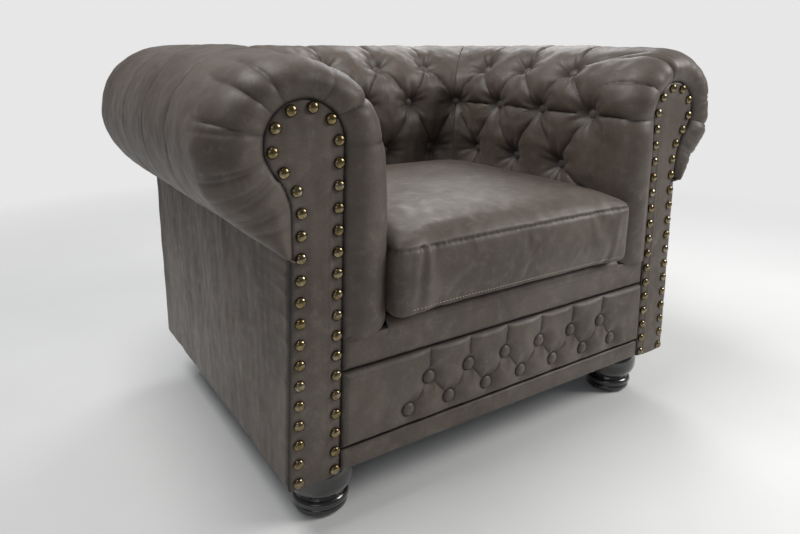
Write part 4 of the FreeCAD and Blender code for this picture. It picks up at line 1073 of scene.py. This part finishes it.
staple_wire = steel_finish("staple_wire", (0.62, 0.62, 0.62, 1), (0.45, 0.45, 0.44, 1), 0.35)
wires = staples("dust_cover_staples", low.z - 0.0004, inset=0.008, spacing=0.055)
finish_piece(wires, staple_wire, "bare_steel", "chair")


# ---- Seat cushion ----
# A loose box cushion: foam in a cloth cover, crowned on top. Its seams run round the top and bottom
# edges and down the front corners, gathered a little, and it blows out under its own filling.

cushion_low, cushion_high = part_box("cushion_cover")
cushion_middle = (cushion_low + cushion_high) / 2
cushion_half = (cushion_high - cushion_low) / 2
box_top, seam_z = 0.456, 0.4475
crown_height = 0.027


def cushion_shape():
    """The cushion before it fills: a box with rounded edges and corners."""
    bm = bmesh.new()
    bmesh.ops.create_cube(bm, size=2.0)
    bmesh.ops.subdivide_edges(bm, edges=bm.edges, cuts=47, use_grid_fill=True)
    half_z = (box_top - cushion_low.z) / 2
    centre = Vector((cushion_middle.x, cushion_middle.y, (box_top + cushion_low.z) / 2))
    round_up, round_corner = 0.013, 0.020
    straight_x, straight_y = cushion_half.x - round_corner, cushion_half.y - round_corner
    for vertex in bm.verts:
        x = vertex.co.x * (cushion_half.x - 0.001)
        y = vertex.co.y * cushion_half.y
        z = vertex.co.z * half_z
        core = Vector((max(-straight_x, min(straight_x, x)), max(-straight_y, min(straight_y, y))))
        away = Vector((x, y)) - core
        if away.length > round_corner:
            away *= round_corner / away.length
        x, y = core + away
        wall = min(cushion_half.x - abs(x), cushion_half.y - abs(y))
        if away.length > 0:
            wall = min(wall, round_corner - away.length)
        rim = max(0.0, round_up - (half_z - abs(z)))
        fall = round_up - math.sqrt(max(0.0, round_up**2 - rim**2))
        shrink = 1 - fall / cushion_half.x if wall < 0.02 else 1
        vertex.co = Vector((x * shrink, y * shrink, z)) + centre
    return as_piece("seat_cushion_cloth", bm)


def apply_modifiers(piece):
    """Replaces the piece's mesh by what its modifiers give."""
    graph = bpy.context.evaluated_depsgraph_get()
    mesh = bpy.data.meshes.new_from_object(piece.evaluated_get(graph))
    piece.modifiers.clear()
    piece.data = mesh


def fill_out(piece, pressure, frames, share, most):
    """Blows the cushion out as cloth. Each point keeps a share of its move, within a distance."""
    before = places_of(piece)
    cloth = piece.modifiers.new("cloth", "CLOTH")
    settings = cloth.settings
    settings.use_pressure = True
    settings.uniform_pressure_force = pressure
    settings.effector_weights.gravity = 0
    settings.tension_stiffness = settings.compression_stiffness = 25
    settings.shear_stiffness = 8
    settings.bending_stiffness = 1.5
    settings.quality = 5
    settings.shrink_min = -0.02
    cloth.point_cache.frame_start = 1
    cloth.point_cache.frame_end = frames
    for number in range(1, frames + 1):
        bpy.context.scene.frame_set(number)
    apply_modifiers(piece)
    bpy.context.scene.frame_set(1)
    moved = share * (places_of(piece) - before)
    reach = np.linalg.norm(moved, axis=1, keepdims=True)
    move_to(piece, before + moved * np.minimum(1, most / np.maximum(reach, 1e-9)))


cushion = cushion_shape()
remesh = cushion.modifiers.new("even", "REMESH")
remesh.mode = "VOXEL"
remesh.voxel_size = 0.006
apply_modifiers(cushion)
fill_out(cushion, pressure=4.0, frames=20, share=0.4, most=0.005)
finer = cushion.modifiers.new("finer", "SUBSURF")
finer.levels = finer.render_levels = 1
apply_modifiers(cushion)


def cushion_details(piece):
    """Crowns the top, draws in the top seam with painted shade along it, and keeps the cushion inside the
    seat.
    """
    x, y, z = places_of(piece).T
    nx = (x - cushion_middle.x) / cushion_half.x
    ny = (y - cushion_middle.y) / cushion_half.y
    far_x, far_y = np.abs(nx), np.abs(ny)
    upper = np.clip((z - 0.41) / 0.03, 0, 1)
    z = z + upper * (crown_height * np.clip(1 - far_x**5, 0, 1) * np.clip(1 - far_y**5, 0, 1))
    # The seam round the top edge is a narrow valley, gathered in short stitches.
    around = np.where(far_x > far_y, y, x)
    seam = bell(z - seam_z, 0.0028) * (np.maximum(far_x, far_y) > 0.93)
    gather = 0.5 + 0.5 * np.sin(around * 2 * math.pi / 0.0125 + 1.5 * np.sin(around * 40))
    pull = seam * (0.0018 + 0.0012 * gather)
    front_wall = np.clip((far_y - 0.93) / 0.05, 0, 1) * (z < 0.45)
    creases = np.sin(x * 120 + 3 * cloudy(x, z, 0.12, 81)) * np.clip(cloudy(x, z * 0.3, 0.14, 82), 0, 1)
    y_out = np.sign(ny) * front_wall * 0.0021 * creases
    x = x - np.sign(nx) * pull * (far_x >= far_y)
    y = y - np.sign(ny) * pull * (far_y > far_x) + y_out
    z = z + upper * (0.0009 * cloudy(x, y, 0.16, 83) + 0.0004 * cloudy(x * 2, y, 0.06, 84))
    x = np.clip(x, cushion_low.x - 0.001, cushion_high.x + 0.001)
    y = np.minimum(y, cushion_high.y)
    z = np.maximum(z, cushion_low.z)
    move_to(piece, np.stack([x, y, z], axis=1))
    # Painted shade along the seam's valley, darker at each gather.
    mark(piece, "hollow", seam * (0.22 + 0.28 * gather))
    piece.data.polygons.foreach_set("use_smooth", [True] * len(piece.data.polygons))


cushion_details(cushion)
cushion_cloth = cloth_finish("cushion_cloth", streaks=0.15, sheen=0.12)
finish_piece(cushion, cushion_cloth, "seat_cloth", "seat_cushion", "cushion_cover", "cushion_core")
zip_tape, tree, shader, place = new_finish("zip_tape", Roughness=0.6)
teeth = wave(tree, "X", place, 160.0, 0.0)
toothed = blend(tree, teeth, (0.015, 0.014, 0.014, 1), (0.06, 0.05, 0.045, 1))
paint(shader, toothed, None, teeth, 0.5, 0.0005)
dress(["cushion_zip"], zip_tape)


# ---- Topstitching on the cushion ----
# Cream thread in even stitches above the bottom edge of the front, and dark thread along the seam of
# the top edge.


def front_line(height, spacing):
    """Places and normals along the cushion's front face, found by looking straight back at it."""
    tree = BVHTree.FromObject(cushion, bpy.context.evaluated_depsgraph_get())
    half_width, viewpoint_y = 0.245, -0.6
    for number in range(int(2 * half_width / spacing) + 1):
        start = Vector((-half_width + number * spacing, viewpoint_y, height))
        spot, normal, _, _ = tree.ray_cast(start, Vector((0, 1, 0)))
        if spot is not None:
            yield spot + normal * 0.0002, normal


def stitches(name, line, length, radius):
    """Short raised stitches along a line of places and normals, lying along it."""
    bm = bmesh.new()
    size = Matrix.Diagonal((length / 2, radius, radius, 1))
    for (before, _), (place, out), (after, _) in zip(line, line[1:], line[2:]):
        along = (after - before).normalized()
        turn = Matrix((along, out.cross(along), out)).transposed().to_4x4()
        turn.translation = place
        made = bmesh.ops.create_icosphere(bm, subdivisions=1, radius=1.0)
        bmesh.ops.transform(bm, matrix=turn @ size, verts=made["verts"])
    return as_piece(name, bm)


def thread_finish(name, light, dark):
    material, tree, shader, place = new_finish(name, Roughness=0.7, Sheen_Weight=0.1)
    soiled = noise(tree, place, 60, 3)
    paint(shader, blend(tree, soiled, dark, light), None, soiled, 0.2, 0.0002)
    return material


cream_thread = thread_finish("cream_thread", (0.62, 0.53, 0.40, 1), (0.42, 0.34, 0.25, 1))
dark_thread = thread_finish("dark_thread", (0.05, 0.04, 0.032, 1), (0.02, 0.017, 0.014, 1))
for name, height, spacing, length, radius, thread in (
    ("cushion_bottom_stitches", 0.352, 0.0066, 0.0044, 0.0007, cream_thread),
    ("cushion_top_stitches", seam_z, 0.0085, 0.0050, 0.0006, dark_thread),
):
    run = stitches(name, list(front_line(height, spacing)), length, radius)
    finish_piece(run, thread, "seat_cloth", "seat_cushion")


# ---- Camera, floor and light ----
# The photo's own angle. A plain pale floor, a large soft key light from the front right, weaker ones
# from above, from the rear right and from the front left, and an even pale surround.

camera = bpy.data.cameras.new("camera")
camera.sensor_width = 36.0
focal_pixels, picture_width = 645.3, 800
camera.lens = focal_pixels / picture_width * camera.sensor_width
camera.shift_y = -0.05
viewer = bpy.data.objects.new("camera", camera)
bpy.context.scene.collection.objects.link(viewer)
viewer.location = (-0.763, -1.167, 0.739)
viewer.rotation_euler = (math.radians(90 - 15.46), 0, math.radians(-33.34))
bpy.context.scene.camera = viewer


def seen_or_lit(tree, lit, seen, amount, output):
    """Shows one shader and lights with another, by an amount that is 0 for all but camera rays."""
    mix = add(tree, "ShaderNodeMixShader", None, amount, lit.outputs[0], seen.outputs[0])
    feed(tree.nodes[output], {"Surface": mix.outputs[0]})


def camera_rays(tree):
    return add(tree, "ShaderNodeLightPath").outputs["Is Camera Ray"]


surround_grey = (0.80, 0.80, 0.80, 1)
floor_paint, tree, shader, place = new_finish("pale_floor", Roughness=0.75)
mottle = noise(tree, place, 3, 5)
feed(shader, {"Base Color": blend(tree, mottle, (0.76, 0.77, 0.77, 1), (0.84, 0.85, 0.85, 1))})
distance = add(tree, "ShaderNodeVectorMath", {"operation": "LENGTH"}, place).outputs["Value"]
faded = product(tree, ramp(tree, distance, 1.0, 2.6), camera_rays(tree))
pale = add(tree, "ShaderNodeEmission", Color=surround_grey, Strength=1.0)
seen_or_lit(tree, shader, pale, faded, "Material Output")
bm = bmesh.new()
bmesh.ops.create_grid(bm, x_segments=1, y_segments=1, size=12)
floor = as_piece("floor", bm, smooth=False)
floor.data.materials.append(floor_paint)

surround = bpy.data.worlds.new("surround")
bpy.context.scene.world = surround
surround.use_nodes = True
tree = surround.node_tree
lit = tree.nodes["Background"]
feed(lit, {"Color": (0.86, 0.88, 0.92, 1), "Strength": 0.21})
seen = add(tree, "ShaderNodeBackground", Color=surround_grey, Strength=1.0)
seen_or_lit(tree, lit, seen, camera_rays(tree), "World Output")

for name, place, aim, size, power, colour in (
    ("key", (2.3, -1.7, 2.0), (0.2, -0.1, 0.4), (1.2, 1.2), 64, (1.0, 0.98, 0.95)),
    ("top", (-0.9, 0.2, 2.7), (0.0, 0.0, 0.4), (1.6, 1.4), 50, (1.0, 0.99, 0.97)),
    ("window", (1.6, 1.5, 2.0), (0.1, -0.2, 0.45), (1.2, 1.0), 20, (1.0, 1.0, 1.0)),
    ("fill", (-2.4, -2.4, 1.5), (0.0, 0.0, 0.4), (1.6, 1.4), 5.5, (0.95, 0.97, 1.0)),
):
    lamp = bpy.data.lights.new(name, "AREA")
    lamp.shape = "RECTANGLE"
    lamp.size, lamp.size_y = size
    lamp.energy = power
    lamp.color = colour
    holder = bpy.data.objects.new(name, lamp)
    bpy.context.scene.collection.objects.link(holder)
    holder.location = place
    holder.rotation_euler = (Vector(aim) - Vector(place)).to_track_quat("-Z", "Y").to_euler()

bpy.context.scene.view_settings.view_transform = "Standard"
